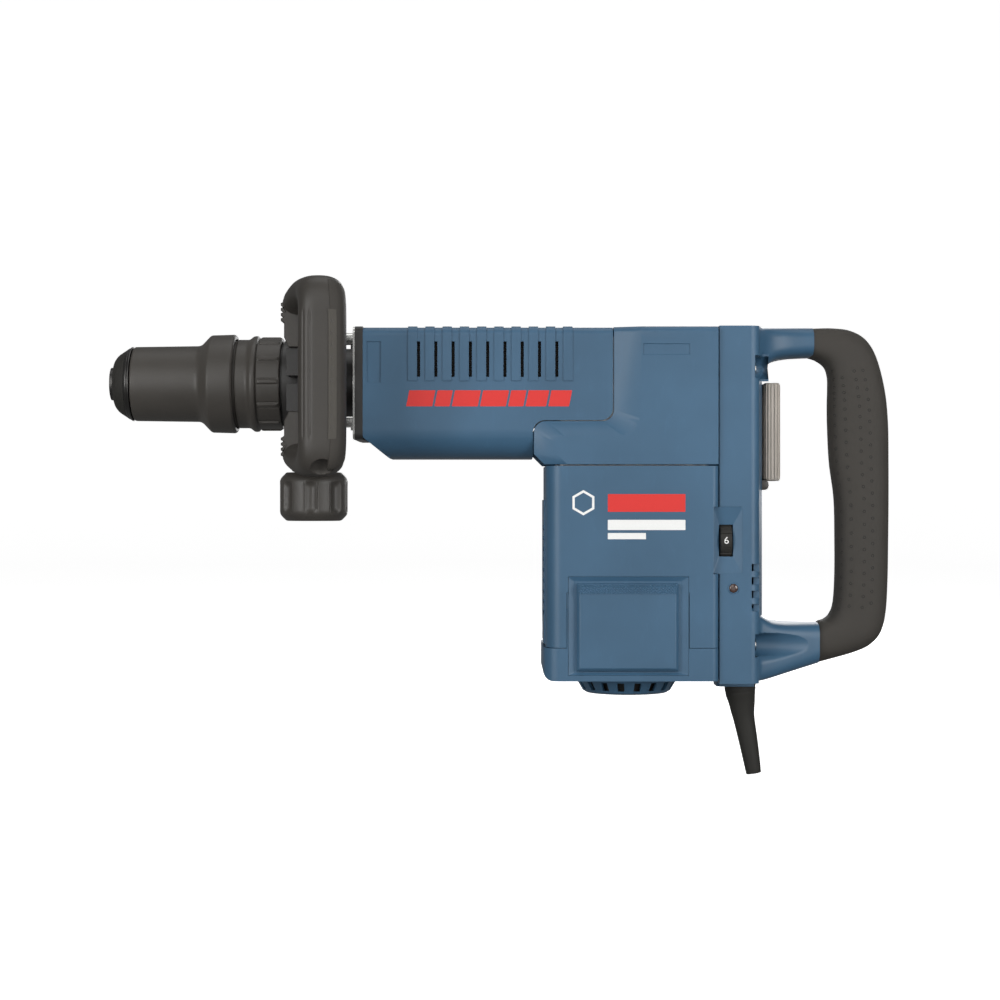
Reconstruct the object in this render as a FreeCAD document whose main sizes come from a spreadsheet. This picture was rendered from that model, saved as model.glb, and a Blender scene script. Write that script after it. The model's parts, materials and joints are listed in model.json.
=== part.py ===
import FreeCAD, Part

# An electric demolition hammer with its hammer axis lying along X. The tool socket's mouth is at the
# origin, the mechanism runs towards +X, the upright motor hangs below it towards -Z, and the closed rear
# handle is at the +X end. The side handle stands out towards -Y. Every size is in millimetres.

import math
import os

import Sketcher
from FreeCAD import Placement, Rotation, Vector

SHEET = "Sizes"
X, Y, Z = Vector(1, 0, 0), Vector(0, 1, 0), Vector(0, 0, 1)

# name, value, what it measures
DRIVING_SIZES = [
    # tool holder, along X from the socket's mouth
    ("shank_bore", 9.05, "radius of the socket for an 18 mm round chisel shank"),
    ("spindle_radius", 20.0, "outside radius of the tool spindle"),
    ("cap_depth", 9.0, "depth of the dust cap over the spindle's nose"),
    ("nose_ring_radius", 12.5, "radius of the spindle's nose inside the dust cap"),
    ("spindle_back", 134.0, "rear face of the spindle"),
    ("sleeve_front", 17.6, "front face of the locking sleeve"),
    ("sleeve_radius", 28.6, "radius of the locking sleeve's barrel"),
    ("flare_start", 69.4, "where the barrel flares into the collar"),
    ("flare_length", 8.0, "length of the flare"),
    ("collar_radius", 37.8, "radius of the locking sleeve's collar"),
    ("sleeve_back", 96.5, "rear face of the collar"),
    ("sleeve_wall", 2.9, "wall of the locking sleeve"),
    ("bar_front", 48.0, "front end of the locking bars"),
    ("bar_length", 22.0, "length of the locking bars"),
    ("bar_width", 6.8, "width of the locking bars"),
    ("ring_front", 90.0, "front face of the chisel indexing ring"),
    ("ring_back", 132.0, "rear face of the indexing ring"),
    ("ring_neck_radius", 33.9, "radius of the indexing ring's plain neck"),
    ("bead_radius", 36.8, "radius of the indexing ring's bead"),
    ("bead_front", 106.6, "where the bead's front slope starts"),
    ("ring_bore", 31.2, "bore of the indexing ring"),
    # front housing and its flange
    ("nose_front", 104.5, "front face of the front housing"),
    ("nose_radius", 30.9, "radius of the nose inside the indexing ring"),
    ("seat_radius", 33.0, "radius of the seat of the side handle's band"),
    ("seat_front", 133.5, "front shoulder of that seat"),
    ("seat_back", 178.5, "rear shoulder of that seat"),
    ("neck_radius", 27.0, "radius of the neck behind the seat"),
    ("flange_front", 189.5, "front face of the square flange"),
    ("flange_back", 195.5, "rear face of the square flange"),
    ("flange_half", 45.0, "half of the flange's width"),
    ("flange_top", 41.0, "top edge of the flange"),
    ("flange_bottom", -44.0, "bottom edge of the flange"),
    ("bolt_y", 33.0, "sideways place of the flange bolts"),
    ("bolt_top", 32.0, "height of the upper flange bolts"),
    ("bolt_bottom", -30.0, "height of the lower flange bolts"),
    # hammer mechanism
    ("tube_bore", 20.03, "bore of the hammer tube"),
    ("tube_radius", 24.0, "outside radius of the hammer tube"),
    ("tube_front", 197.0, "front end of the hammer tube"),
    ("tube_back", 352.0, "rear end of the hammer tube"),
    ("piston_radius", 19.97, "radius of the piston and of the ram"),
    ("seal_radius", 20.0, "outside radius of the piston's and ram's seals"),
    ("piston_front", 300.0, "front face of the piston at front dead centre"),
    ("wrist_x", 330.0, "wrist pin at front dead centre"),
    ("rod_length", 80.0, "distance between the connecting rod's eyes"),
    ("throw", 15.0, "crank throw"),
    ("crank_x", 425.0, "crankshaft axis"),
    ("ram_front", 240.0, "front face of the ram"),
    ("ram_length", 44.0, "length of the ram"),
    ("box_front", 341.0, "front face of the crankcase"),
    ("box_back", 455.0, "rear face of the crankcase"),
    ("box_half", 40.0, "half of the crankcase's width"),
    ("box_top", 33.0, "top of the crankcase"),
    ("box_bottom", -62.0, "bottom of the crankcase"),
    ("barrel_radius", 34.0, "outside radius of the gear housing's barrel"),
    # gears
    ("tooth_module", 0.8, "module of the reduction gears"),
    ("pinion_teeth", 12, "teeth of the motor pinion"),
    ("gear_teeth", 63, "teeth of the crank gear"),
    ("gear_low", -60.0, "underside of the crank gear"),
    ("gear_high", -50.0, "top of the crank gear"),
    # hammer cover
    ("cover_half", 45.0, "half of the hammer cover's width"),
    ("cover_top", 40.2, "top of the hammer cover"),
    ("cover_bottom", -57.6, "bottom of the hammer cover"),
    ("cover_back", 382.4, "rear edge of the hammer cover's upper part"),
    ("cover_step_x", 322.6, "rear edge of the hammer cover's lower part"),
    ("cover_step_z", -29.4, "underside of the hammer cover's upper part"),
    ("shell_wall", 3.0, "wall of the plastic shells"),
    ("rib_pitch", 12.9, "pitch of the cooling ribs and slots"),
    ("rib_first", 229.2, "front edge of the first cooling rib"),
    ("rib_width", 7.0, "width of a cooling rib"),
    ("rib_height", 0.9, "height of a cooling rib"),
    ("rib_count", 10, "cooling ribs"),
    ("slot_width", 2.3, "width of a cooling slot"),
    ("slot_low", 2.9, "lower end of the cooling slots"),
    ("slot_high", 29.4, "upper end of the cooling slots"),
    # crank cover and motor housing
    ("body_back", 460.5, "rear face of the crank cover and motor housing"),
    ("body_top", 40.4, "top of the crank cover"),
    ("crank_half", 52.0, "half of the crank cover's width"),
    ("body_front", 332.2, "front face of the motor housing"),
    ("vent_front", 331.0, "front face of the motor housing's raised vent panel"),
    ("cap_front", 330.2, "front face of the lower cap"),
    ("motor_half", 54.0, "half of the motor housing's width"),
    ("motor_wall", 4.5, "wall of the motor housing"),
    ("motor_top", -63.6, "top edge of the motor housing"),
    ("motor_seam", -198.8, "seam between the motor housing and the lower cap"),
    ("motor_bottom", -223.7, "bottom of the lower cap"),
    ("motor_x", 395.0, "motor axis"),
    ("tongue_front", 347.5, "front edge of the lower cap's side tongues"),
    ("tongue_back", 438.7, "rear edge of the side tongues"),
    ("tongue_top", -157.8, "top edge of the side tongues"),
    ("hatch_front", 348.7, "front edge of the brush cover's sunk frame"),
    ("hatch_back", 438.2, "rear edge of the sunk frame"),
    ("hatch_top", -145.8, "top edge of the sunk frame"),
    ("hatch_bottom", -219.3, "bottom edge of the sunk frame"),
    ("hatch_depth", 2.6, "depth of the sunk frame"),
    # motor
    ("stator_radius", 46.0, "outside radius of the field stack"),
    ("stator_bore", 27.3, "bore of the field stack"),
    ("core_radius", 26.7, "radius of the armature stack"),
    ("core_low", -170.0, "lower end of the armature stack"),
    ("core_high", -112.0, "upper end of the armature stack"),
    ("commutator_radius", 15.0, "radius of the commutator"),
    ("commutator_low", -206.0, "lower end of the commutator"),
    ("commutator_high", -186.0, "upper end of the commutator"),
    ("brush_z", -196.0, "height of the carbon brushes"),
    ("fan_radius", 42.0, "radius of the cooling fan"),
    # rear frame and rear grip
    ("frame_front", 461.6, "front edge of the rear frame"),
    ("frame_back", 496.5, "rear wall of the rear frame"),
    ("frame_half", 48.0, "half of the rear frame's width"),
    ("frame_top", 41.0, "top of the rear frame"),
    ("frame_bottom", -226.0, "bottom of the rear frame"),
    ("arm_half", 20.5, "half of the width of the handle's arms"),
    ("upper_arm_end", 536.6, "rear end of the upper arm"),
    ("upper_arm_low", 19.5, "underside of the upper arm"),
    ("lower_arm_end", 540.5, "rear end of the lower arm"),
    ("lower_arm_high", -182.5, "top of the lower arm"),
    ("grip_half", 18.0, "half of the rear grip's width"),
    ("grip_back", 595.9, "rear face of the rear grip"),
    ("grip_front", 555.5, "front face of the rear grip"),
    ("grip_top", 41.8, "top of the rear grip"),
    ("grip_bottom", -213.6, "lowest point of the rear grip's front end"),
    # switch, dial and lamp
    ("paddle_top", 0.2, "top of the switch paddle"),
    ("paddle_bottom", -74.6, "bottom of the switch paddle"),
    ("paddle_front", 498.0, "front face of the switch paddle"),
    ("paddle_back", 511.8, "rear crown of the switch paddle"),
    ("paddle_half", 17.0, "half of the paddle's width"),
    ("hinge_x", 500.0, "paddle hinge"),
    ("hinge_z", -77.8, "paddle hinge"),
    ("dial_x", 466.6, "middle of the speed dial"),
    ("dial_y", -33.6, "axis of the speed dial"),
    ("dial_z", -119.3, "axis of the speed dial"),
    ("dial_radius", 16.0, "radius of the speed dial"),
    ("dial_width", 9.2, "width of the speed dial"),
    ("dial_notch", 456.6, "front edge of the recess that leads to the speed dial"),
    ("lamp_x", 472.0, "service lamp"),
    ("lamp_z", -154.8, "service lamp"),
    ("lamp_radius", 3.4, "radius of the service lamp"),
    # cord sleeve
    ("cord_x", 482.3, "middle of the cord sleeve at its mouth in the frame"),
    ("cord_top_radius", 12.0, "radius of the cord sleeve at the frame"),
    ("cord_end_radius", 5.9, "radius of the cord sleeve's end"),
    ("cord_bore", 4.3, "radius of the cord sleeve's bore"),
    ("cord_end_x", 493.3, "middle of the cord sleeve's end"),
    ("cord_end_z", -298.7, "middle of the cord sleeve's end"),
    # side handle
    ("side_bolt_x", 159.4, "clamp bolt of the side handle"),
    ("side_bolt_y", -48.0, "clamp bolt of the side handle"),
    ("band_front", 140.0, "front edge of the clamp band"),
    ("band_back", 178.0, "rear edge of the clamp band"),
    ("band_radius", 38.0, "outside radius of the clamp band"),
    ("loop_half", 72.0, "half of the side handle's height"),
    ("loop_outer", -128.0, "outer face of the side grip"),
    ("loop_inner", -96.0, "inner face of the side grip"),
    ("loop_front", 154.0, "front face of the side grip"),
    ("loop_back", 187.6, "rear face of the side grip"),
    ("loop_window", 50.0, "half of the height of the side handle's opening"),
    ("knob_radius", 25.3, "radius of the clamp knob"),
    ("knob_top", -68.5, "top of the clamp knob"),
    ("knob_bottom", -104.5, "bottom of the clamp knob"),
]


class Dim:
    """A length that knows its value and the sheet expression that gives it."""

    def __init__(self, value, text):
        self.value, self.text = float(value), text

    def joined(self, other, sign):
        other = dim(other)
        values = {
            "+": self.value + other.value,
            "-": self.value - other.value,
            "*": self.value * other.value,
            "/": self.value / (other.value or 1.0),
        }
        return Dim(values[sign], f"({self.text} {sign} {other.text})")

    def __add__(self, other):
        return self.joined(other, "+")

    def __sub__(self, other):
        return self.joined(other, "-")

    def __mul__(self, other):
        return self.joined(other, "*")

    def __truediv__(self, other):
        return self.joined(other, "/")

    def __neg__(self):
        return dim(0).joined(self, "-")

    def __radd__(self, other):
        return dim(other).joined(self, "+")

    def __rsub__(self, other):
        return dim(other).joined(self, "-")

    def __rmul__(self, other):
        return dim(other).joined(self, "*")


def dim(number):
    """A plain number, or a Dim, as a Dim."""
    return number if isinstance(number, Dim) else Dim(number, f"({float(number):.6g})")


class Sizes:
    """The driving dimensions, kept in the document's spreadsheet."""

    def __init__(self, document, rows):
        sheet = document.addObject("Spreadsheet::Sheet", SHEET)
        for row, (name, value, meaning) in enumerate(rows, start=1):
            sheet.set(f"A{row}", meaning)
            sheet.set(f"B{row}", str(value))
            sheet.setAlias(f"B{row}", name)
            setattr(self, name, Dim(value, f"{SHEET}.{name}"))


doc = FreeCAD.newDocument("demolition_hammer")
size = Sizes(doc, DRIVING_SIZES)
doc.recompute()
made = []


# ---- helpers: bodies, sketches and features -------------------------------------------------------

def bind(thing, prop, length):
    """Ties one property to the sheet."""
    thing.setExpression(prop, dim(length).text)


def new_body(label):
    """A PartDesign body that becomes one node."""
    body = doc.addObject("PartDesign::Body", label)
    body.Label = label
    made.append(body)
    return body


def origin_part(body, role):
    return next(o for o in body.Origin.OriginFeatures if o.Role == role)


def place(body, x=0, y=0, z=0):
    for axis, length in zip("xyz", (x, y, z)):
        bind(body, f"Placement.Base.{axis}", length)
    return body


def sketch_on(body, plane, offset=0):
    """An empty sketch on one of the body's own planes, moved along the plane's normal."""
    sketch = body.newObject("Sketcher::SketchObject", "Sketch")
    sketch.AttachmentSupport = [(origin_part(body, plane), "")]
    sketch.MapMode = "FlatFace"
    bind(sketch, "AttachmentOffset.Base.z", offset)
    return sketch


def fix(sketch, geometry, vertex, x, y):
    """Holds one sketch point at sheet coordinates."""
    for kind, axis, length in (("DistanceX", -2, dim(x)), ("DistanceY", -1, dim(y))):
        if abs(length.value) < 1e-9:
            sketch.addConstraint(Sketcher.Constraint("PointOnObject", geometry, vertex, axis))
        else:
            made_one = sketch.addConstraint(
                Sketcher.Constraint(kind, -1, 1, geometry, vertex, length.value)
            )
            sketch.setExpression(f"Constraints[{made_one}]", length.text)


def outline(sketch, corners):
    """A closed outline. A corner is (x, y), or (x, y, r) where the run that leads to it is an arc: it turns
    left where r is positive and right where it is negative."""
    points = [Vector(dim(c[0]).value, dim(c[1]).value, 0) for c in corners]
    first = sketch.GeometryCount
    ends = []
    for i, corner in enumerate(corners):
        a, b = points[i - 1], points[i]
        if len(corner) == 2:
            sketch.addGeometry(Part.LineSegment(a, b))
            ends.append((1, 2))
            continue
        radius = dim(corner[2])
        chord = b - a
        reach = math.sqrt(max(radius.value**2 - (chord.Length / 2) ** 2, 0.0))
        left = Vector(-chord.y, chord.x, 0).normalize() * math.copysign(reach, radius.value)
        centre = (a + b) * 0.5 + left
        turns_left = radius.value > 0
        start, stop = (a, b) if turns_left else (b, a)
        angles = [math.atan2(p.y - centre.y, p.x - centre.x) for p in (start, stop)]
        circle = Part.Circle(centre, Z, abs(radius.value))
        sketch.addGeometry(Part.ArcOfCircle(circle, angles[0], angles[1]))
        ends.append((1, 2) if turns_left else (2, 1))
        held = sketch.addConstraint(
            Sketcher.Constraint("Radius", first + i, abs(radius.value))
        )
        sketch.setExpression(
            f"Constraints[{held}]", radius.text if turns_left else (-radius).text
        )
    for i in range(len(corners)):
        after = (i + 1) % len(corners)
        sketch.addConstraint(
            Sketcher.Constraint("Coincident", first + i, ends[i][1], first + after, ends[after][0])
        )
        fix(sketch, first + i, ends[i][1], corners[i][0], corners[i][1])
    return sketch


def box_outline(sketch, x0, y0, x1, y1, r=0):
    """A rectangle from its low corner to its high corner, with its corners rounded by r."""
    if dim(r).value <= 0:
        return outline(sketch, [(x0, y0), (x1, y0), (x1, y1), (x0, y1)])
    return outline(
        sketch,
        [
            (x0 + r, y0, r), (x1 - r, y0), (x1, y0 + r, r), (x1, y1 - r),
            (x1 - r, y1, r), (x0 + r, y1), (x0, y1 - r, r), (x0, y0 + r),
        ],
    )


def disc(sketch, x, y, r):
    """A circle."""
    centre = Vector(dim(x).value, dim(y).value, 0)
    index = sketch.addGeometry(Part.Circle(centre, Z, dim(r).value))
    held = sketch.addConstraint(Sketcher.Constraint("Radius", index, dim(r).value))
    sketch.setExpression(f"Constraints[{held}]", dim(r).text)
    fix(sketch, index, 3, x, y)
    return sketch


def volume_of(body):
    doc.recompute()
    return 0.0 if body.Shape.isNull() else body.Shape.Volume


def feature(body, kind, sketch, **settings):
    """A sketch-based feature, recomputed at once, with its lengths tied to the sheet."""
    before = volume_of(body)
    one = body.newObject(f"PartDesign::{kind}", kind)
    one.Profile = sketch
    for name, value in settings.items():
        if isinstance(value, Dim):
            bind(one, name, value)
        else:
            setattr(one, name, value)
    after = volume_of(body)
    grows = kind in ("Pad", "Revolution")
    if "Up-to-date" not in one.State or (after > before) != grows or abs(after - before) < 1e-3:
        raise RuntimeError(f"{body.Label}: {kind} changed the volume from {before:.1f} to {after:.1f}")
    return one


def pad(body, sketch, length, middle=False, back=False):
    return feature(body, "Pad", sketch, Length=dim(length), Midplane=middle, Reversed=back)


def pocket(body, sketch, length, middle=False, back=False):
    return feature(body, "Pocket", sketch, Length=dim(length), Midplane=middle, Reversed=back)


def turned(label, corners, axis="H_Axis"):
    """A body turned from (place, radius) corners about X, or from (radius, height) ones about Z."""
    body = new_body(label)
    sketch = outline(sketch_on(body, "XZ_Plane"), corners)
    feature(body, "Revolution", sketch, ReferenceAxis=(sketch, [axis]), Angle=360.0)
    return body


def upright(label, corners):
    """A turned body about the motor's axis."""
    return place(turned(label, corners, "V_Axis"), size.motor_x)


def around(body, features, axis, count):
    """Repeats features about one of the body's own axes."""
    before = volume_of(body)
    pattern = body.newObject("PartDesign::PolarPattern", "Around")
    pattern.Originals = features
    pattern.Axis = (origin_part(body, axis), [""])
    pattern.Angle = 360
    bind(pattern, "Occurrences", count)
    body.Tip = pattern
    if abs(volume_of(body) - before) < 1e-3:
        raise RuntimeError(f"{body.Label}: the polar pattern did nothing")
    return pattern


def along(body, features, axis, length, count, down=False):
    """Repeats features along one of the body's own axes, or against it."""
    before = volume_of(body)
    pattern = body.newObject("PartDesign::LinearPattern", "Along")
    pattern.Originals = features
    pattern.Direction = (origin_part(body, axis), [""])
    pattern.Reversed = down
    bind(pattern, "Length", length)
    bind(pattern, "Occurrences", count)
    body.Tip = pattern
    if abs(volume_of(body) - before) < 1e-3:
        raise RuntimeError(f"{body.Label}: the linear pattern did nothing")
    return pattern


def mirrored(body, features, plane="XZ_Plane"):
    """Repeats features on the other side of one of the body's own planes."""
    before = volume_of(body)
    mirror = body.newObject("PartDesign::Mirrored", "Mirror")
    mirror.Originals = features
    mirror.MirrorPlane = (origin_part(body, plane), [""])
    body.Tip = mirror
    if abs(volume_of(body) - before) < 1e-3:
        raise RuntimeError(f"{body.Label}: the mirror did nothing")
    return mirror


def primitive(body, kind, at=(0, 0, 0), turn=None, **lengths):
    """An additive or subtractive primitive, such as SubtractiveCylinder, at a place in the body."""
    before = volume_of(body)
    one = body.newObject(f"PartDesign::{kind}", kind)
    for name, value in lengths.items():
        bind(one, name, value)
    if turn is not None:
        one.Placement = Placement(Vector(), turn)
    for axis, length in zip("xyz", at):
        bind(one, f"Placement.Base.{axis}", length)
    after = volume_of(body)
    if (after > before) != kind.startswith("Additive") or abs(after - before) < 1e-3:
        raise RuntimeError(f"{body.Label}: {kind} changed the volume from {before:.1f} to {after:.1f}")
    return one


ALONG_X = Rotation(Y, 90)
ALONG_Y = Rotation(X, -90)
UPRIGHT = Rotation()


def rod_hole(body, x, y, z, radius, length, turn):
    """A round hole that starts at a place and runs along the turned axis."""
    return primitive(body, "SubtractiveCylinder", (x, y, z), turn, Radius=radius, Height=length)


def rod(body, x, y, z, radius, length, turn):
    """A round boss that starts at a place and runs along the turned axis."""
    return primitive(body, "AdditiveCylinder", (x, y, z), turn, Radius=radius, Height=length)


def block(body, low, high):
    """A box between two corners."""
    low, high = [dim(v) for v in low], [dim(v) for v in high]
    return primitive(
        body, "AdditiveBox", low, None,
        Length=high[0] - low[0], Width=high[1] - low[1], Height=high[2] - low[2],
    )


def cut_block(body, low, high):
    """Takes a box away."""
    low, high = [dim(v) for v in low], [dim(v) for v in high]
    return primitive(
        body, "SubtractiveBox", low, None,
        Length=high[0] - low[0], Width=high[1] - low[1], Height=high[2] - low[2],
    )


def rounded(body, radius, chosen, kind="Fillet"):
    """Fillets or chamfers the edges of the body's tip that the test chooses."""
    doc.recompute()
    tip = body.Tip
    names = [f"Edge{i}" for i, e in enumerate(tip.Shape.Edges, start=1) if chosen(e)]
    if not names:
        raise RuntimeError(f"{body.Label}: no edge to round")
    one = body.newObject(f"PartDesign::{kind}", kind)
    one.Base = (tip, names)
    bind(one, "Radius" if kind == "Fillet" else "Size", radius)
    body.Tip = one
    doc.recompute()
    if "Up-to-date" not in one.State:
        raise RuntimeError(f"{body.Label}: {kind} of {len(names)} edges failed")
    return one


def near(value, length, within=0.05):
    return abs(value - dim(length).value) < within


# ---- tool holder ----------------------------------------------------------------------------------

def make_tool_spindle():
    """Spindle with the chisel's socket, the slots of the two locking bars and the springs' shoulder."""
    inner = size.shank_bore + 0.35
    body = turned("tool_spindle", [
        (0, size.shank_bore), (46, size.shank_bore), (46, inner), (size.spindle_back, inner),
        (size.spindle_back, size.spindle_radius), (83, size.spindle_radius),
        (83, size.spindle_radius + 4), (80, size.spindle_radius + 4), (80, size.spindle_radius),
        (size.cap_depth, size.spindle_radius), (size.cap_depth, size.nose_ring_radius),
        (0, size.nose_ring_radius),
    ])
    slots = sketch_on(body, "XY_Plane")
    half = size.bar_width / 2 + 0.3
    box_outline(slots, size.bar_front - 0.3, -half, size.bar_front + size.bar_length + 0.3, half)
    pocket(body, slots, size.spindle_radius * 3, middle=True)


def make_dust_cap():
    """Rubber cap over the spindle's nose, which keeps drilling dust out of the socket."""
    turned("dust_cap", [
        (0, size.nose_ring_radius), (size.cap_depth, size.nose_ring_radius),
        (size.cap_depth, size.spindle_radius), (13, size.spindle_radius), (13, 26.4),
        (4, 21.2), (1.5, 18.4), (0, 14.2),
    ])


def make_retaining_ring():
    """Ring that holds the locking sleeve on the spindle."""
    turned("retaining_ring", [
        (13, size.spindle_radius), (17.2, size.spindle_radius), (17.2, 28.3), (16.2, 28.5), (13, 26.6),
    ])


def make_locking_sleeve():
    """Sleeve that is drawn back to free the chisel. The ramp inside it holds the locking bars in."""
    inside = size.sleeve_radius - size.sleeve_wall
    reach = size.spindle_radius + 0.3
    ramp_end = size.bar_front + 10
    turned("locking_sleeve", [
        (size.sleeve_front, reach), (size.sleeve_front + 3, reach), (size.sleeve_front + 3, inside),
        (ramp_end - 11.5, inside), (ramp_end - 11.5, reach + 4.7), (ramp_end, reach), (ramp_end, inside),
        (size.flare_start - 1, inside), (size.flare_start + size.flare_length, size.ring_neck_radius + 0.7),
        (size.sleeve_back, size.ring_neck_radius + 0.7), (size.sleeve_back, size.collar_radius - 0.9),
        (size.sleeve_back - 1, size.collar_radius),
        (size.flare_start + size.flare_length, size.collar_radius - 0.5),
        (size.flare_start, size.sleeve_radius + 0.5), (size.sleeve_front, size.sleeve_radius - 0.2),
    ])


def make_locking_bar(label, side):
    """Bar that drops into the groove of the chisel's shank, above or below it."""
    body = new_body(label)
    front, ramp = size.bar_front, size.bar_front + 10.2
    inner, outer = dim(7.2), size.spindle_radius - 0.1
    corners = [
        (front, inner), (front + size.bar_length, inner), (front + size.bar_length, outer - 2.4),
        (ramp, outer - 2.4), (ramp, outer), (front + 4, outer + 2.5), (front + 4, outer), (front, outer),
    ]
    pad(body, outline(sketch_on(body, "XZ_Plane"), [(x, z * side) for x, z in corners]),
        size.bar_width, middle=True)


def coil(label, radius, wire, start, height, pitch, axis="H_Axis"):
    """A helical spring about X, or about Z with the V_Axis."""
    body = new_body(label)
    return wind(body, radius, wire, start, height, pitch, axis)


def wind(body, radius, wire, start, height, pitch, axis):
    sketch = sketch_on(body, "XZ_Plane")
    if axis == "H_Axis":
        disc(sketch, start, radius, wire / 2)
    else:
        disc(sketch, radius, start, wire / 2)
    helix = body.newObject("PartDesign::AdditiveHelix", "Coil")
    helix.Profile = sketch
    helix.ReferenceAxis = (sketch, [axis])
    helix.Mode = 0
    bind(helix, "Pitch", pitch)
    bind(helix, "Height", height)
    if volume_of(body) < 1:
        raise RuntimeError(f"{body.Label}: no coil")
    return body


def make_indexing_ring():
    """Ring that is pushed forwards and turned to set the chisel's angle."""
    front, neck, bead = size.ring_front, size.ring_neck_radius, size.bead_front
    body = turned("indexing_ring", [
        (front, size.spindle_radius + 0.3), (front + 5, size.spindle_radius + 0.3),
        (front + 5, size.ring_bore), (size.ring_back, size.ring_bore), (size.ring_back, neck + 0.4),
        (size.ring_back - 1, neck + 0.9), (bead + 7.4, neck + 1), (bead + 6.4, size.bead_radius),
        (bead + 3.9, size.bead_radius), (bead, neck), (front, neck),
    ])
    rib = block(body, (bead + 7, -0.8, neck), (size.ring_back - 0.6, 0.8, neck + 1.7))
    around(body, [rib], "X_Axis", 12)


def make_index_wheel():
    """Twelve-notch wheel on the spindle that the indexing ring locks."""
    body = turned("index_wheel", [
        (96.2, size.spindle_radius), (103, size.spindle_radius), (103, 30), (96.2, 30),
    ])
    notch = cut_block(body, (96, -2, 27.5), (103.2, 2, 31))
    around(body, [notch], "X_Axis", 12)


def make_tool_holder():
    make_tool_spindle()
    make_dust_cap()
    make_retaining_ring()
    make_locking_sleeve()
    make_locking_bar("locking_bar_upper", 1)
    make_locking_bar("locking_bar_lower", -1)
    coil("sleeve_spring", dim(22), dim(1.6), dim(60), dim(18.5), dim(4))
    make_indexing_ring()
    coil("ring_spring", dim(22.5), dim(1.2), dim(83.7), dim(5.4), dim(2.6))
    make_index_wheel()


# ---- front housing --------------------------------------------------------------------------------

def flange_outline(body, offset, inset=0):
    """The square flange's outline, in a plane across X."""
    half = size.flange_half - inset
    return box_outline(sketch_on(body, "YZ_Plane", offset), -half, size.flange_bottom + inset,
                       half, size.flange_top - inset, dim(5))


def bolt_holes(body, start, length, radius):
    """The four holes of the flange bolts."""
    for y in (-size.bolt_y, size.bolt_y):
        for z in (size.bolt_bottom, size.bolt_top):
            rod_hole(body, start, y, z, radius, length, ALONG_X)


def make_front_housing():
    """Cast nose that carries the spindle, the side handle's seat and the square flange."""
    chamber = dim(13.3)
    body = turned("front_housing", [
        (size.nose_front, size.spindle_radius + 0.05), (135.5, size.spindle_radius + 0.05),
        (135.5, 9.15), (150, 9.15), (150, chamber), (size.flange_back, chamber),
        (size.flange_back, 28), (size.flange_front, 28), (size.flange_front - 1.5, size.neck_radius),
        (size.seat_back, size.neck_radius), (size.seat_back, size.seat_radius),
        (size.seat_front, size.seat_radius), (size.seat_front, size.nose_radius),
        (size.nose_front, size.nose_radius),
    ])
    thickness = size.flange_back - size.flange_front
    pad(body, flange_outline(body, size.flange_front), thickness)
    rod_hole(body, size.flange_front - 1, 0, 0, chamber, thickness + 2, ALONG_X)
    bolt_holes(body, size.flange_front - 1, thickness + 2, dim(3))


def make_flange_plate():
    """Bright steel plate under the bolt heads."""
    body = new_body("flange_plate")
    pad(body, flange_outline(body, size.flange_front - 1.5, 0.4), dim(1.5))
    rod_hole(body, size.flange_front - 2, 0, 0, size.neck_radius + 1, dim(3), ALONG_X)
    bolt_holes(body, size.flange_front - 2, dim(3), dim(3))


def make_flange_bolts():
    """Four socket-head bolts that hold the front housing to the gear housing."""
    body = new_body("flange_bolts")
    for y in (-size.bolt_y, size.bolt_y):
        for z in (size.bolt_bottom, size.bolt_top):
            rod(body, size.flange_front - 8.3, y, z, dim(4.5), dim(6.8), ALONG_X)
            rod(body, size.flange_front - 1.5, y, z, dim(3), dim(17.5), ALONG_X)
            rod_hole(body, size.flange_front - 8.4, y, z, dim(2.4), dim(3.6), ALONG_X)


# ---- hammer mechanism -----------------------------------------------------------------------------

def make_hammer_tube():
    """Ground steel tube in which the piston drives the ram on a cushion of air."""
    turned("hammer_tube", [
        (size.tube_front, size.tube_bore), (size.tube_back, size.tube_bore),
        (size.tube_back, size.tube_radius), (size.tube_front, size.tube_radius),
    ])


def make_impact_bolt():
    """Striker that takes the ram's blow and passes it to the chisel."""
    turned("impact_bolt", [
        (112, 0), (214, 0), (214, 9), (213, 10), (191, 10), (188, 13), (160, 13), (157, 8.9),
        (113, 8.9), (112, 7.9),
    ])


def make_ram():
    front, back = size.ram_front, size.ram_front + size.ram_length
    outer = size.piston_radius
    turned("ram", [
        (front, 0), (back, 0), (back, outer - 1), (back - 1, outer), (front + 30, outer),
        (front + 30, outer - 2.5), (front + 26, outer - 2.5), (front + 26, outer),
        (front + 1, outer), (front, outer - 1),
    ])
    turned("ram_seal", [
        (front + 26.1, outer - 2.4), (front + 29.9, outer - 2.4), (front + 29.9, size.seal_radius),
        (front + 26.1, size.seal_radius),
    ])


def make_piston():
    front, back = size.piston_front, size.piston_front + 45
    outer = size.piston_radius
    body = turned("piston", [
        (front, 0), (front + 14, 0), (front + 14, 15), (back, 15), (back, outer), (front + 9, outer),
        (front + 9, outer - 2.5), (front + 5, outer - 2.5), (front + 5, outer), (front, outer),
    ])
    rod_hole(body, size.wrist_x, 0, -size.seal_radius - 1, dim(4.5), size.seal_radius * 2 + 2, UPRIGHT)
    turned("piston_seal", [
        (front + 5.1, outer - 2.4), (front + 8.9, outer - 2.4), (front + 8.9, size.seal_radius),
        (front + 5.1, size.seal_radius),
    ])


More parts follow.
